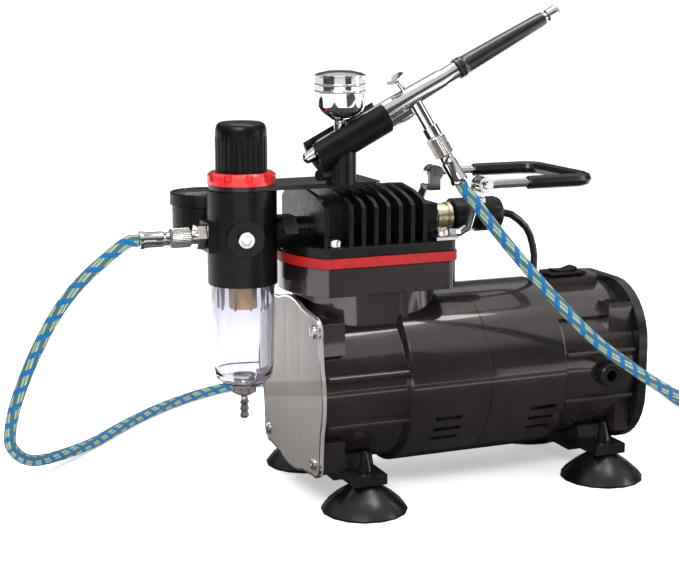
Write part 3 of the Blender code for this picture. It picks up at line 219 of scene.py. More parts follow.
def brushed_plate():
    """Warm grey satin plate with faint vertical brushing and one darker band lying across it."""
    look = Look("brushed_plate").set(Metallic=0.55)
    grain = look.noise(700, 6, (1, 1, 0.03))
    fine = look.ramp(grain, (0.30, (0.40, 0.365, 0.345)), (0.70, (0.455, 0.420, 0.400)))
    place = look.node("ShaderNodeSeparateXYZ")
    look.link(look.place(), place.inputs[0])
    tilted = look.math("ADD", place.outputs[2], look.math("MULTIPLY", place.outputs[1], 0.25))
    band = look.math("COMPARE", tilted, 0.0620)
    band.node.inputs[2].default_value = 0.0045
    look.colour(look.mix(look.math("MULTIPLY", band, 0.55), fine, (0.235, 0.215, 0.205)))
    look.rough(look.noise(300, 4, (1, 1, 0.03)), 0.42, 0.52)
    return look.bump(grain, 0.04, 0.0001, 0.0008).material


def steel():
    look = Look("steel").set(Metallic=1.0)
    look.colour(look.ramp(look.noise(120), (0.3, (0.36, 0.36, 0.37)), (0.7, (0.50, 0.50, 0.51))))
    look.rough(look.noise(240, 4, (0.1, 1, 1)), 0.25, 0.42)
    return look.bump(look.noise(300, 3, (0.1, 1, 1)), 0.08).material


def chrome():
    """Bright plating with faint handling smears in its gloss."""
    look = Look("chrome").set(Metallic=1.0)
    look.colour(look.ramp(look.noise(40), (0.3, (0.62, 0.62, 0.64)), (0.7, (0.74, 0.74, 0.76))))
    look.rough(look.noise(70), 0.03, 0.09)
    return look.bump(look.noise(260, 2), 0.02, 0.0001, 0.0003).material


def dark_chrome():
    """Plating over dull steel, as on the handle's posts."""
    look = Look("dark_chrome").set(Metallic=1.0)
    look.colour(look.ramp(look.noise(60), (0.3, (0.13, 0.13, 0.14)), (0.7, (0.24, 0.24, 0.25))))
    look.rough(look.noise(110), 0.12, 0.24)
    return look.bump(look.noise(260), 0.05, 0.0001, 0.0004).material


def nickel():
    look = Look("nickel").set(Metallic=1.0)
    look.colour(look.ramp(look.noise(80), (0.3, (0.62, 0.58, 0.55)), (0.7, (0.78, 0.74, 0.70))))
    look.rough(look.noise(160), 0.14, 0.26)
    return look.bump(look.noise(300), 0.06, 0.0001, 0.0003).material


def brass():
    look = Look("brass").set(Metallic=1.0)
    look.colour(look.ramp(look.noise(70), (0.3, (0.74, 0.64, 0.42)), (0.7, (0.90, 0.82, 0.60))))
    look.rough(look.noise(150), 0.20, 0.34)
    return look.bump(look.noise(320), 0.06).material


def copper():
    """Enamelled winding wire, laid side by side."""
    look = Look("copper").set(Metallic=0.9, Coat_Weight=0.4)
    look.colour(look.ramp(look.noise(900, 2, (0.05, 1, 1)), (0.3, (0.36, 0.11, 0.04)),
                          (0.7, (0.68, 0.28, 0.12))))
    look.rough(look.noise(100), 0.25, 0.40)
    return look.bump(look.noise(900, 2, (0.05, 1, 1)), 0.5).material


def red_gasket():
    look = Look("red_gasket").set(Coat_Weight=0.15, Coat_Roughness=0.3, Specular_IOR_Level=0.3)
    look.colour(look.ramp(look.noise(260), (0.35, (0.31, 0.005, 0.007)), (0.65, (0.41, 0.008, 0.010))))
    look.rough(look.noise(180), 0.40, 0.52)
    return look.bump(look.noise(600), 0.20, 0.0002, 0.0006).material


def red_plastic():
    look = Look("red_plastic").set(Coat_Weight=0.5, Coat_Roughness=0.1)
    look.colour(look.ramp(look.noise(90), (0.35, (0.58, 0.006, 0.012)), (0.65, (0.74, 0.012, 0.020))))
    look.rough(look.noise(120), 0.20, 0.32)
    return look.bump(look.noise(380), 0.10, 0.0001, 0.0005).material


def black_plastic():
    """Black moulding with a fine spark-eroded grain."""
    look = Look("black_plastic").set(Specular_IOR_Level=0.20, Coat_Weight=0.06, Coat_Roughness=0.10)
    look.colour(look.ramp(look.noise(120), (0.3, (0.0015, 0.0015, 0.0018)), (0.7, (0.004, 0.004, 0.0045))))
    look.rough(look.noise(260), 0.28, 0.40)
    return look.bump(look.noise(1500, 2), 0.10, 0.0001, 0.0008).material


def black_rubber():
    """Satin rubber with a faint bloom."""
    look = Look("black_rubber").set(Specular_IOR_Level=0.4)
    look.colour(look.ramp(look.noise(50, 6), (0.35, (0.003, 0.003, 0.003)), (0.75, (0.008, 0.008, 0.009))))
    look.rough(look.noise(140), 0.20, 0.32)
    return look.bump(look.noise(700), 0.10, 0.0001, 0.0006).material


def clear_plastic():
    """Clear moulding with a faint lavender cast."""
    look = Look("clear_plastic").set(Transmission_Weight=1.0, IOR=1.46)
    look.colour(look.ramp(look.noise(30), (0.3, (0.76, 0.76, 0.84)), (0.7, (0.82, 0.82, 0.89))))
    look.rough(look.noise(60), 0.01, 0.03)
    return look.bump(look.noise(50, 2), 0.06, 0.0002).material


def sintered():
    """Filter element pressed from fine beads."""
    look = Look("sintered")
    look.colour(look.ramp(look.cells(900, "Distance"), (0.0, (0.92, 0.58, 0.28)), (0.8, (0.70, 0.38, 0.15))))
    look.rough(look.noise(200), 0.70, 0.85)
    return look.bump(look.cells(900, "Distance"), 0.5).material


def knurled(name, base):
    """Straight fine knurl, from the angle round the piece's own axis, held in its UV."""
    look = Look(name).set(Metallic=1.0)
    position = look.node("ShaderNodeSeparateXYZ")
    look.link(look.place(kind="UV"), position.inputs[0])
    ridge = look.math("SINE", look.math("MULTIPLY", position.outputs[0], 36 * 2 * math.pi))
    look.colour(look.ramp(look.noise(80), (0.3, tuple(0.85 * c for c in base)), (0.7, base)))
    look.rough(look.noise(160), 0.16, 0.26)
    return look.bump(ridge, 0.6, 0.0004).material


def braid():
    """Woven cover: blue yarn with pale and olive tracer yarns that dive under it.

    The UV holds metres along the hose and turns around it.
    """
    look = Look("braid").set(Sheen_Weight=0.05, Sheen_Roughness=0.5, Specular_IOR_Level=0.2)
    position = look.node("ShaderNodeSeparateXYZ")
    look.link(look.place(kind="UV"), position.inputs[0])
    along, around = position.outputs[0], position.outputs[1]

    def helix(per_metre, starts):
        turned = look.math("ADD", look.math("MULTIPLY", along, per_metre),
                           look.math("MULTIPLY", around, starts))
        return look.math("FRACT", turned)

    tracer = helix(18.0, 4.0)
    under = helix(84.0, -2.0)
    streak_a = look.math("COMPARE", tracer, 0.18)
    streak_b = look.math("COMPARE", tracer, 0.50)
    streak_c = look.math("COMPARE", tracer, 0.82)
    for streak in (streak_a, streak_b, streak_c):
        streak.node.inputs[2].default_value = 0.11
    shown = look.math("GREATER_THAN", under, 0.38)
    blue = look.ramp(look.noise(700), (0.3, (0.002, 0.105, 0.30)), (0.7, (0.006, 0.180, 0.45)))
    pale = look.mix(look.math("MULTIPLY", streak_a, shown), blue, (0.40, 0.46, 0.20))
    twin = look.mix(look.math("MULTIPLY", streak_b, shown), pale, (0.34, 0.42, 0.20))
    full = look.mix(look.math("MULTIPLY", streak_c, shown), twin, (0.10, 0.13, 0.07))
    look.colour(full)
    weave = look.math("MULTIPLY", look.math("SINE", look.math("MULTIPLY", helix(700.0, 12.0), 2 * math.pi)),
                      look.math("SINE", look.math("MULTIPLY", helix(700.0, -12.0), 2 * math.pi)))
    look.rough(look.noise(500), 0.55, 0.75)
    return look.bump(weave, 0.6, 0.0004).material


def dial():
    look = Look("dial")
    look.colour(look.ramp(look.noise(30), (0.3, (0.78, 0.78, 0.76)), (0.7, (0.86, 0.86, 0.84))))
    return look.rough(look.noise(60), 0.4, 0.5).material


def painted_rib_shade():
    """Painted shade: opaque grey that stands in for the shaded edge of a clear rib."""
    look = Look("painted_rib_shade").set(Specular_IOR_Level=0.4)
    # painted shade: grey colour in place of the clear rib's shaded edge
    look.colour(look.ramp(look.noise(60), (0.3, (0.24, 0.24, 0.29)), (0.7, (0.32, 0.32, 0.37))))
    return look.rough(look.noise(90), 0.2, 0.3).material


def milky_painted_glow():
    """Translucent white moulding with painted light: an emission makes it glow a little though it is no
    lamp.
    """
    # painted light: the emission set here makes the moulding glow
    look = Look("milky_painted_glow").set(Subsurface_Weight=0.3, Subsurface_Scale=0.003,
                             Emission_Color=(0.95, 0.94, 0.90, 1),
                             Emission_Strength=0.35)
    look.colour(look.ramp(look.noise(60), (0.3, (0.80, 0.81, 0.84)), (0.7, (0.90, 0.90, 0.93))))
    return look.rough(look.noise(90), 0.25, 0.4).material


SLOT_LOOKS = {
    "metallic_paint": metallic_paint(), "head_paint": head_paint(), "black_paint": black_paint(),
    "aluminium": brushed_plate(), "steel": steel(), "chrome": chrome(), "nickel": nickel(), "brass": brass(),
    "copper": copper(), "red_gasket": red_gasket(), "red_plastic": red_plastic(),
    "black_plastic": black_plastic(), "black_rubber": black_rubber(), "clear_plastic": clear_plastic(),
    "filter_bronze": sintered(), "hose_blue": braid(),
}
KNURL = knurled("knurled_nickel", (0.74, 0.70, 0.66))
DIAL = dial()
MILKY_PAINTED_GLOW = milky_painted_glow()
PAINTED_RIB_SHADE = painted_rib_shade()
OWN_LOOKS = {"handle_post_rear": dark_chrome()}


def dress_cad():
    """Each CAD node gets its slot's material, smoothed across shallow edges."""
    for part in frame["record"]["subparts"]:
        obj = NODES[part["node"]]
        obj.data.materials.clear()
        obj.data.materials.append(OWN_LOOKS.get(part["node"], SLOT_LOOKS[part["material_slot"]]))
        smooth(obj)


def smooth(obj, angle=32):
    """Welds the facets' shared corners and keeps only the sharp edges sharp."""
    for polygon in obj.data.polygons:
        polygon.use_smooth = True
    weld = obj.modifiers.new("weld", "WELD")
    weld.merge_threshold = 0.000002
    split = obj.modifiers.new("sharp", "EDGE_SPLIT")
    split.split_angle = math.radians(angle)
    split.use_edge_sharp = False


# ---------------------------------------------------------------- shape helpers

def piece(name, mesh, look, body):
    obj = bpy.data.objects.new(name, mesh)
    bpy.context.scene.collection.objects.link(obj)
    mesh.materials.append(look)
    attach(obj, body)
    return obj


def aim(at, direction=(0, 0, 1)):
    """The matrix that puts a shape made along +Z at a place, along a direction."""
    return Matrix.Translation(Vector(at)) @ Vector(direction).to_track_quat("Z", "Y").to_matrix().to_4x4()


def skin(name, rings, closed_ends=True, matrix=None):
    """A mesh through rings of equal length, with turns and length in its UV."""
    made = bmesh.new()
    layer = made.loops.layers.uv.new("UVMap")
    rows = [[made.verts.new(matrix @ Vector(p) if matrix else p) for p in ring] for ring in rings]
    sides = len(rows[0])
    run = [0.0]
    for first, second in zip(rings, rings[1:]):
        middle = [sum((Vector(p) for p in ring), Vector()) / sides for ring in (first, second)]
        run.append(run[-1] + (middle[1] - middle[0]).length)
    for index in range(len(rows) - 1):
        for side in range(sides):
            face = made.faces.new((rows[index][side], rows[index][(side + 1) % sides],
                                   rows[index + 1][(side + 1) % sides], rows[index + 1][side]))
            corners = ((index, side), (index, side + 1), (index + 1, side + 1), (index + 1, side))
            for loop, (row, turn) in zip(face.loops, corners):
                loop[layer].uv = (turn / sides, run[row])
            face.smooth = True
    if closed_ends:
        made.faces.new(reversed(rows[0]))
        made.faces.new(rows[-1])
    bmesh.ops.recalc_face_normals(made, faces=made.faces)
    mesh = bpy.data.meshes.new(name)
    made.to_mesh(mesh)
    made.free()
    mesh.set_sharp_from_angle(angle=math.radians(35))
    return mesh


def lathe(name, profile, matrix, sides=48, wave=None):
    """Turned shape from (radius, height) steps; wave(angle, height) adds to the radius."""
    rings = []
    for radius, height in profile:
        ring = []
        for side in range(sides):
            angle = 2 * math.pi * side / sides
            reach = radius + (wave(angle, height) if wave else 0.0)
            ring.append((reach * math.cos(angle), reach * math.sin(angle), height))
        rings.append(ring)
    return skin(name, rings, matrix=matrix)


def tube(name, points, radius, sides=16):
    """Round tube along points, its frame carried along without twist; UV is metres along, turns around."""
    points = [Vector(p) for p in points]
    last = len(points) - 1
    ways = [(points[min(i + 1, last)] - points[max(i - 1, 0)]).normalized() for i in range(last + 1)]
    across = ways[0].orthogonal().normalized()
    rings = []
    for point, way in zip(points, ways):
        across = (across - way * across.dot(way)).normalized()
        other = way.cross(across)
        rings.append([point + (across * math.cos(a) + other * math.sin(a)) * radius
                      for a in (2 * math.pi * s / sides for s in range(sides))])
    mesh = skin(name, rings)
    layer = mesh.uv_layers.active.data
    for item in layer:
        item.uv = (item.uv[1], item.uv[0])
    return mesh


def smooth_route(points, spacing, start=None, end=None):
    """Evenly spaced points on a smooth curve through given ones."""
    knots = [Vector(p) for p in points]
    final = len(knots) - 1
    tangents = [(knots[min(i + 1, final)] - knots[max(i - 1, 0)]).normalized() for i in range(final + 1)]
    if start is not None:
        tangents[0] = Vector(start).normalized()
    if end is not None:
        tangents[-1] = Vector(end).normalized()
    fine = []
    for index, (first, last) in enumerate(zip(knots, knots[1:])):
        reach = (last - first).length
        for step in range(20):
            t = step / 20
            fine.append(first * (2 * t**3 - 3 * t**2 + 1) + tangents[index] * reach * (t**3 - 2 * t**2 + t)
                        + last * (3 * t**2 - 2 * t**3) + tangents[index + 1] * reach * (t**3 - t**2))
    fine.append(knots[-1])
    run = [0.0]
    for first, last in zip(fine, fine[1:]):
        run.append(run[-1] + (last - first).length)
    count = max(2, round(run[-1] / spacing))
    route, index = [], 0
    for step in range(count + 1):
        want = run[-1] * step / count
        while index < len(run) - 2 and run[index + 1] < want:
            index += 1
        share = (want - run[index]) / max(run[index + 1] - run[index], 1e-9)
        route.append(fine[index].lerp(fine[index + 1], min(share, 1.0)))
    return route


# ---------------------------------------------------------------- hose

HOSE_R = 0.0035
FLOOR_Z = HOSE_R + 0.0001
COIL = Vector((0.0780 + SHIFT, 0.1500, FLOOR_Z))
COIL_MID_R = 0.0420
COIL_CLEAR = COIL_MID_R + 2 * HOSE_R + 0.0006
STEM_AT = 0.0738
STEM_LENGTH = 0.0262
NUT_LENGTH = 0.0300
NUT_GAP = 0.0003
BRUSH_SLOPE = math.radians(27.2)
STEM_ROLL = math.radians(13)
TRIGGER_SAUCER = (0.0692, 0.0126)  # along the airbrush from its tip, and above its axis
TRIGGER_LEAN = math.radians(12)
BRUSH_TIP = Vector((-0.1066 + SHIFT, -0.0250, 0.1997))
LEFT_ROUTE = (
    (-0.2124, 0.002, 0.1475), (-0.2276, 0.006, 0.1333), (-0.2400, 0.011, 0.1164),
    (-0.2498, 0.016, 0.0973), (-0.2573, 0.022, 0.0781), (-0.2631, 0.030, 0.0570),
    (-0.2639, 0.043, 0.0360), (-0.2595, 0.054, 0.0256), (-0.2520, 0.065, 0.0171),
    (-0.2422, 0.077, 0.0115), (-0.2293, 0.091, 0.0080), (-0.2130, 0.108, 0.0055),
    (-0.1930, 0.130, FLOOR_Z), (-0.1561, 0.170, FLOOR_Z), (-0.1156, 0.204, FLOOR_Z),
    (-0.0700, 0.227, FLOOR_Z), (-0.0250, 0.231, FLOOR_Z), (0.0120, 0.224, FLOOR_Z),
    (0.0450, 0.210, FLOOR_Z),
)
RIGHT_ROUTE = (
    (-0.0099, -0.0410, 0.1755), (-0.0010, -0.0480, 0.1614), (0.0098, -0.0545, 0.1461),
    (0.0337, -0.0620, 0.1177), (0.0617, -0.0645, 0.0901), (0.0909, -0.0625, 0.0692),
    (0.1150, -0.0575, 0.0545), (0.1420, -0.0490, 0.0400), (0.1700, -0.0350, 0.0265),
    (0.1930, -0.0130, 0.0155), (0.2065, 0.0150, 0.0080), (0.2120, 0.0430, 0.0045),
    (0.2160, 0.0690, FLOOR_Z), (0.2225, 0.0940, FLOOR_Z), (0.2280, 0.1180, FLOOR_Z),
    (0.2300, 0.1420, FLOOR_Z), (0.2210, 0.1680, FLOOR_Z), (0.1960, 0.1900, FLOOR_Z),
    (0.1620, 0.2010, FLOOR_Z), (0.1350, 0.2025, FLOOR_Z),
)


def brush_point(along, across=0.0):
    """A place on the airbrush: along its axis from the tip, and across it upwards."""
    return BRUSH_TIP + Vector((along * math.cos(BRUSH_SLOPE) - across * math.sin(BRUSH_SLOPE), 0,
                               along * math.sin(BRUSH_SLOPE) + across * math.cos(BRUSH_SLOPE)))


def stem_direction():
    square = Vector((math.sin(BRUSH_SLOPE), 0, -math.cos(BRUSH_SLOPE)))
    return (square * math.cos(STEM_ROLL) + Vector((0, -1, 0)) * math.sin(STEM_ROLL)).normalized()


def eased(value, steps):
    """Between (position, level) steps, with level ends."""
    for (start, low), (end, high) in zip(steps, steps[1:]):
        if value <= end:
            t = max(0.0, (value - start) / (end - start))
            return low + (high - low) * t * t * (3 - 2 * t)
    return steps[-1][1]


def coil_points():
    """Two clockwise turns from the back of the coil to its back again, the last one laid over the first."""
    radii = ((0, COIL_CLEAR), (90, COIL_MID_R), (450, COIL_MID_R), (560, COIL_CLEAR), (720, COIL_CLEAR))
    over = ((0, 0.0), (90, 0.0), (450, 0.0080), (720, 0.0082))
    points = []
    for turn in range(0, 721, 6):
        radius, height = eased(turn, radii), eased(turn, over)
        angle = math.radians(90 - turn)
        points.append(COIL + Vector((radius * math.cos(angle), radius * math.sin(angle), height)))
    return points


def shifted(points):
    return [Vector(p) + Vector((SHIFT, 0, 0)) for p in points]


def hose():
    left_from = Vector((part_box("hose_nut_regulator")[0][0] - NUT_GAP, 0, PORT_Z))
    right_from = brush_point(STEM_AT) + stem_direction() * (STEM_LENGTH + NUT_LENGTH + 2 * NUT_GAP)
    coil = coil_points()
    away = [coil[-1] + Vector((0.0200, -0.0004, -0.0022)), coil[-1] + Vector((0.0400, 0.0020, -0.0082))]
    left = smooth_route([left_from, left_from + Vector((-0.0050, 0, 0))] + shifted(LEFT_ROUTE) + [coil[0]],
                        0.004, start=(-1, 0, 0), end=(1, 0, 0))
    right = smooth_route([right_from, right_from + stem_direction() * 0.0050] + shifted(RIGHT_ROUTE)
                         + [away[1], away[0], coil[-1]], 0.004, start=stem_direction(), end=(-1, 0, 0))
    whole = left[:-1] + coil + right[-2::-1]
    whole = [Vector((p.x, p.y, max(p.z, FLOOR_Z))) for p in whole]
    obj = piece("hose", tube("hose", whole, HOSE_R), SLOT_LOOKS["hose_blue"], "machine")
    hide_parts("hose_left", "hose_coil", "hose_right")
    hose_nuts(left_from, right_from)


# ---------------------------------------------------------------- regulator details

def knob():
    """Fluted pressure knob with a smooth crown."""
    low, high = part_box("pressure_knob")
    middle = Vector(((low[0] + high[0]) / 2, (low[1] + high[1]) / 2, 0))
    radius = (high[0] - low[0]) / 2
    top, bottom = high[2], low[2]
    crown = top - 0.0085

    def flute(angle, height):
        if height > crown or height < bottom + 0.0008:
            return 0.0
        return -0.0008 * max(0.0, math.cos(24 * angle)) ** 2

    profile = [
        (0.0122, bottom), (radius, bottom), (radius, bottom + 0.0010), (radius, bottom + 0.0011),
        (radius, crown - 0.0002), (radius - 0.0001, crown + 0.0004), (radius - 0.0002, top - 0.0045),
        (radius - 0.0009, top - 0.0020), (radius - 0.0020, top - 0.0007), (radius - 0.0034, top - 0.0001),
        (radius - 0.0046, top), (0.0015, top - 0.0004), (0.0002, top - 0.0004),
    ]
    mesh = lathe("knob_fluted", profile, Matrix.Translation(middle), 288, flute)
    obj = piece("knob_fluted", mesh, SLOT_LOOKS["black_plastic"], "knob")
    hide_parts("pressure_knob")


def gauge():
    """White dial with ticks under a clear glass, inside the case's rim."""
    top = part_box("gauge_case")[1][2]
    floor = 0.1727
    face = [(0.0002, floor), (0.0180, floor), (0.0180, floor + 0.0002), (0.0002, floor + 0.0002)]
    mesh = lathe("gauge_dial", face, Matrix.Translation(GAUGE_AXIS))
    piece("gauge_dial", mesh, DIAL, "machine")
    made = bmesh.new()
    for index in range(31):
        angle = math.radians(225 - 9 * index)
        long = index % 5 == 0
        reach = 0.0135 if long else 0.0150
        size = Matrix.Diagonal((0.0170 - reach, 0.0006 if long else 0.0003, 0.0002, 1))
        spot = Matrix.Translation(GAUGE_AXIS + Vector((0, 0, floor + 0.0003)))
        spot = spot @ Matrix.Rotation(angle, 4, "Z") @ Matrix.Translation(((reach + 0.0170) / 2, 0, 0))
        bmesh.ops.create_cube(made, size=1, matrix=spot @ size)
    ticks = bpy.data.meshes.new("gauge_ticks")
    made.to_mesh(ticks)
    made.free()
    piece("gauge_ticks", ticks, SLOT_LOOKS["black_plastic"], "machine")
    pane = [(0.0002, top - 0.0013), (0.0181, top - 0.0013), (0.0181, top - 0.0004), (0.0002, top - 0.0004)]
    glass = lathe("gauge_glass", pane, Matrix.Translation(GAUGE_AXIS))
    piece("gauge_glass", glass, SLOT_LOOKS["clear_plastic"], "machine")


def bowl_insides():
    """White baffle strip seen through the bowl."""
    rings = []
    for height in (0.0800, 0.0815, 0.1110, 0.1130):
        inner, outer = 0.0128, 0.0139
        angles = [math.radians(a) for a in range(-62, -17, 5)]
        ring = [(outer * math.cos(a), outer * math.sin(a), height) for a in angles]
        ring += [(inner * math.cos(a), inner * math.sin(a), height) for a in reversed(angles)]
        rings.append(ring)
    mesh = skin("bowl_baffle", rings, matrix=Matrix.Translation(REG_AXIS))
    # the baffle glows with painted light from its material's emission
    piece("bowl_baffle", mesh, MILKY_PAINTED_GLOW, "machine")


# ---------------------------------------------------------------- fittings and airbrush

def knurled_nut(name, start, direction):
    """Knurled collar and stepped ferrule that take a hose end, from the hose side to the fitting."""
    ferrule = [(0.0041, 0.0000), (0.0051, 0.0004), (0.0051, 0.0026), (0.0045, 0.0036), (0.0045, 0.0130),
               (0.0042, 0.0142), (0.0038, 0.0150), (0.0038, 0.0172), (0.0034, 0.0174)]
    collar = [(0.0034, 0.0175), (0.0046, 0.0177), (0.0056, 0.0186), (0.0056, 0.0290), (0.0050, 0.0298),
              (0.0030, 0.0300)]
    matrix = aim(start, direction)
    sleeve = piece(name + "_ferrule", lathe(name + "_ferrule", ferrule, matrix), SLOT_LOOKS["chrome"],
                   "machine")
    nut = piece(name + "_knurl", lathe(name + "_knurl", collar, matrix), KNURL, "machine")
    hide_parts(name)
    return [sleeve, nut]


def hose_nuts(left_from, right_from):
    made = knurled_nut("hose_nut_regulator", left_from + Vector((NUT_GAP, 0, 0)), (1, 0, 0))
    made += knurled_nut("hose_nut_airbrush", right_from - stem_direction() * NUT_GAP, -stem_direction())
    return made


def port_plug():
    """Bright screw with a hexagon socket in the regulator's side port."""
    swing = math.radians(-12)
    out = Vector((math.sin(swing), -math.cos(swing), 0))
    start = REG_AXIS + Vector((0, 0, PORT_Z)) + out * 0.0226
    rings = []
    for radius, height, sides in ((0.0046, 0, 48), (0.0046, 0.0012, 48), (0.0043, 0.0015, 48),
                                  (0.0030, 0.0015, 48)):
        rings.append([(radius * math.cos(a), radius * math.sin(a), height)
                      for a in (2 * math.pi * k / sides for k in range(sides))])
    for height in (0.0014, 0.0006):
        rings.append([hexagon_point(0.0026, 2 * math.pi * k / 48) + (height,) for k in range(48)])
    mesh = skin("port_plug", rings, matrix=aim(start, out))
    piece("port_plug", mesh, SLOT_LOOKS["nickel"], "machine")


def hexagon_point(radius, angle):
    """A point on a hexagon's edge in a direction from its middle."""
    sector = math.pi / 3
    reach = radius * math.cos(sector / 2) / math.cos(angle % sector - sector / 2)
    return (reach * math.cos(angle), reach * math.sin(angle))


def filter_parts():
    """Sintered sleeve in place of the plain filter solid, and the ribs in the bowl's neck around it."""
    middle = Matrix.Translation(REG_AXIS)
    sleeve = [(0.0036, 0.1440), (0.0036, 0.1290), (0.0078, 0.1288), (0.0080, 0.1280), (0.0080, 0.1148),
              (0.0074, 0.1140), (0.0002, 0.1140)]
    obj = piece("filter_sleeve", lathe("filter_sleeve", sleeve, middle), SLOT_LOOKS["filter_bronze"],
                "machine")
    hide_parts("filter_element")
    profile = [(0.0003, 0), (0.0007, 0.0006), (0.0007, 0.0140), (0.0003, 0.0144)]
    for index in range(BOWL_RIBS):
        angle = 2 * math.pi * (index + 0.5) / BOWL_RIBS
        across = Vector((math.cos(angle), math.sin(angle), 0)) * BOWL_RIB_REACH
        foot = REG_AXIS + across + Vector((0, 0, BOWL_RIB_BOTTOM))
        rib = lathe(f"bowl_rib_{index + 1}", profile, Matrix.Translation(foot), 12)
        # the ribs carry painted shade: opaque grey standing in for their shaded edges
        piece(f"bowl_rib_{index + 1}", rib, PAINTED_RIB_SHADE, "bowl")


def airbrush_handle():
    """Gloss black tail handle behind a stepped collar."""
    way = brush_point(1.0) - brush_point(0.0)
    profile = [(0.0002, 0.1049), (0.0052, 0.1049), (0.0060, 0.1054), (0.0060, 0.1066), (0.0056, 0.1069),
               (0.0056, 0.1076), (0.0060, 0.1079), (0.0060, 0.1091), (0.0056, 0.1096), (0.0054, 0.1120),
               (0.0052, 0.1200), (0.0049, 0.1350), (0.0045, 0.1500), (0.0041, 0.1660), (0.0038, 0.1679),
               (0.0002, 0.1680)]
    obj = piece("tail_handle_gloss", lathe("tail_handle_gloss", profile, aim(brush_point(0), way)),
                SLOT_LOOKS["black_paint"], "machine")
    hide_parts("tail_handle")


def trigger():
    """Dished finger saucer on a waisted stalk."""
    lean = BRUSH_SLOPE + TRIGGER_LEAN
    profile = [(0.0002, -0.0110), (0.0022, -0.0110), (0.0022, -0.0080), (0.0014, -0.0060), (0.0014, -0.0020),
               (0.0026, -0.0008), (0.0052, 0.0006), (0.0056, 0.0012), (0.0054, 0.0016), (0.0046, 0.0012),
               (0.0024, 0.0004), (0.0002, 0.0002)]
    matrix = aim(brush_point(*TRIGGER_SAUCER), (-math.sin(lean), 0, math.cos(lean)))
    obj = piece("trigger_saucer", lathe("trigger_saucer", profile, matrix), SLOT_LOOKS["chrome"], "trigger")
    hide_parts("trigger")


def cup_beads():
    """Two raised beads round the paint cup, under its rim."""
    low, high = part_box("paint_cup")
    reach = (high[1] - low[1]) / 2
    for index, drop in enumerate((0.0042, 0.0080)):
        level = high[2] - drop
        rings = [(reach + 0.0005 * math.sin(a), level + 0.0007 * math.cos(a))
                 for a in (math.pi * step / 6 for step in range(7))]
        profile = [(reach - 0.0004, level + 0.0007)] + rings + [(reach - 0.0004, level - 0.0007)]
        mesh = lathe(f"cup_bead_{index + 1}", profile, Matrix.Translation(CUP_AXIS))
        piece(f"cup_bead_{index + 1}", mesh, SLOT_LOOKS["chrome"], "machine")


def plate_outline(inset):
    """The front end plate's edge, (across, up) from the motor's axis, moved inwards."""
    ear_r, radius = EAR_R - inset, PLATE_R - inset
    outline = []
    for quarter in range(4):
        middle = math.radians(45 + 90 * quarter)
        ear = (EAR_SPREAD * math.sqrt(2) * math.cos(middle), EAR_SPREAD * math.sqrt(2) * math.sin(middle))
        for centre, reach, swings in (((0, 0), radius, range(-45, -23, 3)), (ear, ear_r, range(-62, 63, 4)),
                                      ((0, 0), radius, range(24, 45, 3))):
            for swing in swings:
                angle = middle + math.radians(swing)
                outline.append((centre[0] + reach * math.cos(angle), centre[1] + reach * math.sin(angle)))
    return outline


def plate_details():
    """Bright turned edge and pan-head screws on the front end plate."""
    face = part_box("front_end_plate")[0][0] + HEAD_RISE
    rings = []
    for inset, lift in ((0.0001, -0.0010), (0.0001, 0.0002), (0.0014, 0.0003), (0.0016, -0.0010)):
        rings.append([(face - lift, across, AXIS_Z + up) for across, up in plate_outline(inset)])
    rings.append(rings[0])
    piece("plate_edge", skin("plate_edge", rings, closed_ends=False), SLOT_LOOKS["nickel"], "machine")
    head = [(0.0002, 0.0), (0.0039, 0.0), (0.0039, 0.0009), (0.0034, 0.0017), (0.0022, 0.0021),
            (0.0012, 0.0022), (0.0011, 0.0014), (0.0002, 0.0012)]
    for index, (side, level) in enumerate(((-1, -1), (-1, 1), (1, -1), (1, 1))):
        at = (face, side * EAR_SPREAD, AXIS_Z + level * EAR_SPREAD)
        mesh = lathe(f"plate_screw_{index + 1}", head, aim(at, (-1, 0, 0)), 24)
        piece(f"plate_screw_{index + 1}", mesh, SLOT_LOOKS["nickel"], "machine")


def rib_caps():
    """Rounded crowns on the long ribs of both motor housings."""
    for end, (start, stop) in enumerate(RIB_SPANS):
        for angle in RIB_ANGLES:
            for side in (-1, 1):
                across = side * RIB_CROWN_REACH * math.cos(math.radians(angle))
                up = AXIS_Z + RIB_CROWN_REACH * math.sin(math.radians(angle))
                points = [(start + SHIFT + (stop - start) * step / 8, across, up) for step in range(9)]
                name = f"rib_cap_{end + 1}_{'a' if side < 0 else 'b'}_{'upper' if angle > 0 else 'lower'}"
                mesh = tube(name, points, RIB_CROWN_R, 12)
                piece(name, mesh, SLOT_LOOKS["metallic_paint"], "machine")


def airbrush_web():
    """Curved chrome web that runs from the air valve forward under the body."""
    points = [brush_point(0.0715, -0.0066), brush_point(0.0690, -0.0095), brush_point(0.0640, -0.0098),
              brush_point(0.0590, -0.0090), brush_point(0.0540, -0.0088), brush_point(0.0500, -0.0080)]
    mesh = tube("airbrush_web", smooth_route(points, 0.0008), 0.0012, 12)
    piece("airbrush_web", mesh, SLOT_LOOKS["chrome"], "machine")


# ---------------------------------------------------------------- studio

def area(name, at, target, size, power, colour=(1, 1, 1)):
    data = bpy.data.lights.new(name, "AREA")
    data.shape = "RECTANGLE"
    data.size, data.size_y = size
    data.energy = power
    data.color = colour
    obj = bpy.data.objects.new(name, data)
    obj.location = at
    obj.rotation_euler = (Vector(target) - Vector(at)).to_track_quat("-Z", "Y").to_euler()
    bpy.context.scene.collection.objects.link(obj)


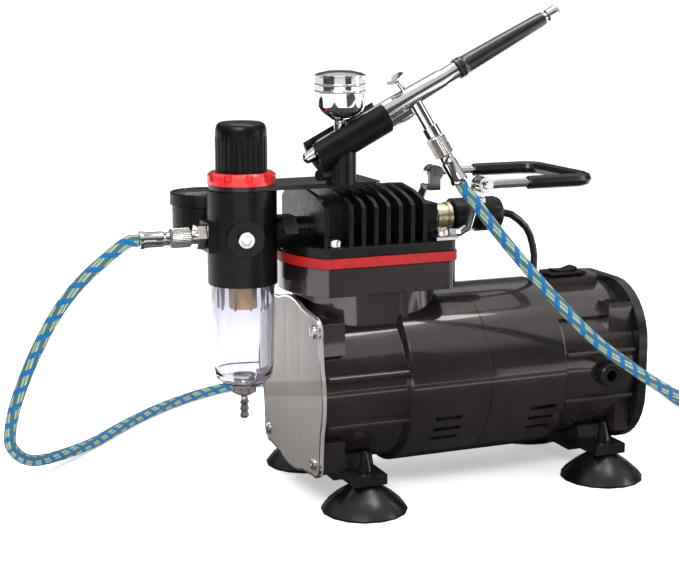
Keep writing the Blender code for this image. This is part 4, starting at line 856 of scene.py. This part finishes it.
def dark_card(name, size, at, facing):
    """A black card that only shows in reflections, to give plating its dark bands."""
    made = bmesh.new()
    bmesh.ops.create_grid(made, x_segments=1, y_segments=1, size=0.5)
    bmesh.ops.scale(made, vec=(size[0], size[1], 1), verts=made.verts)
    mesh = bpy.data.meshes.new(name)
    made.to_mesh(mesh)
    made.free()
    card = bpy.data.objects.new(name, mesh)
    card.location = at
    card.rotation_euler = Vector(facing).to_track_quat("Z", "Y").to_euler()
    for flag in ("camera", "diffuse", "transmission", "shadow", "volume_scatter"):
        setattr(card, f"visible_{flag}", False)
    bpy.context.scene.collection.objects.link(card)
    look = Look(name).set(Specular_IOR_Level=0.0)
    look.colour(look.ramp(look.noise(3.0), (0.3, 0.05), (0.7, 0.08)))
    look.rough(look.noise(2.0), 0.85, 0.95)
    mesh.materials.append(look.material)


def cards():
    dark_card("card_low", (0.90, 0.62), (0.0, -0.06, -0.0001), (0, 0, 1))
    dark_card("card_front", (0.55, 0.34), (0.30, -0.60, -0.0001), (0, 0, 1))
    toward_camera = math.atan2(CAMERA_AT.y, CAMERA_AT.x)
    for name, swing, width in (("card_left", -52, 1.00), ("card_right", 38, 0.50)):
        angle = toward_camera + math.radians(swing)
        out = Vector((math.cos(angle), math.sin(angle), 0))
        dark_card(name, (width, 0.80), out * 0.95 + Vector((0, 0, 0.40)), -out)


def studio():
    scene = bpy.context.scene
    scene.view_settings.view_transform = "Standard"
    world = bpy.data.worlds.new("studio")
    scene.world = world
    world.use_nodes = True
    nodes, links = world.node_tree.nodes, world.node_tree.links
    coordinates = nodes.new("ShaderNodeTexCoord")
    height = nodes.new("ShaderNodeSeparateXYZ")
    ramp = nodes.new("ShaderNodeValToRGB")
    links.new(coordinates.outputs["Generated"], height.inputs[0])
    links.new(height.outputs[2], ramp.inputs[0])
    links.new(ramp.outputs[0], nodes["Background"].inputs[0])
    stops = ((0.0, 1.0), (0.03, 1.0), (0.08, 0.10), (0.42, 0.10), (0.60, 0.75), (1.0, 0.85))
    while len(ramp.color_ramp.elements) < len(stops):
        ramp.color_ramp.elements.new(0.5)
    for element, (position, level) in zip(ramp.color_ramp.elements, stops):
        element.position = position
        element.color = (level, level, level, 1)
    nodes["Background"].inputs[1].default_value = 1.0
    area("key", (-0.6, -0.9, 1.0), (0, 0, 0.08), (0.8, 0.35), 11)
    area("fill", (1.1, -0.6, 0.5), (0, 0, 0.08), (0.3, 0.9), 5)
    area("top", (0.1, 0.1, 1.3), (0, 0, 0.05), (1.2, 0.4), 12)
    made = bmesh.new()
    bmesh.ops.create_grid(made, x_segments=1, y_segments=1, size=20)
    mesh = bpy.data.meshes.new("floor")
    made.to_mesh(mesh)
    made.free()
    floor = bpy.data.objects.new("floor", mesh)
    floor.location.z = -0.0002
    scene.collection.objects.link(floor)
    look = Look("floor").set(Roughness=0.9, Specular_IOR_Level=0.0, Emission_Color=(1, 1, 1, 1),
                             Emission_Strength=0.45)
    look.colour(look.ramp(look.noise(1.0), (0.3, (0.93, 0.93, 0.93)), (0.7, (0.95, 0.95, 0.95))))
    mesh.materials.append(look.material)


def main():
    camera()
    dress_cad()
    hose()
    knob()
    gauge()
    bowl_insides()
    filter_parts()
    port_plug()
    airbrush_handle()
    airbrush_web()
    trigger()
    cup_beads()
    plate_details()
    rib_caps()
    studio()
    cards()


main()
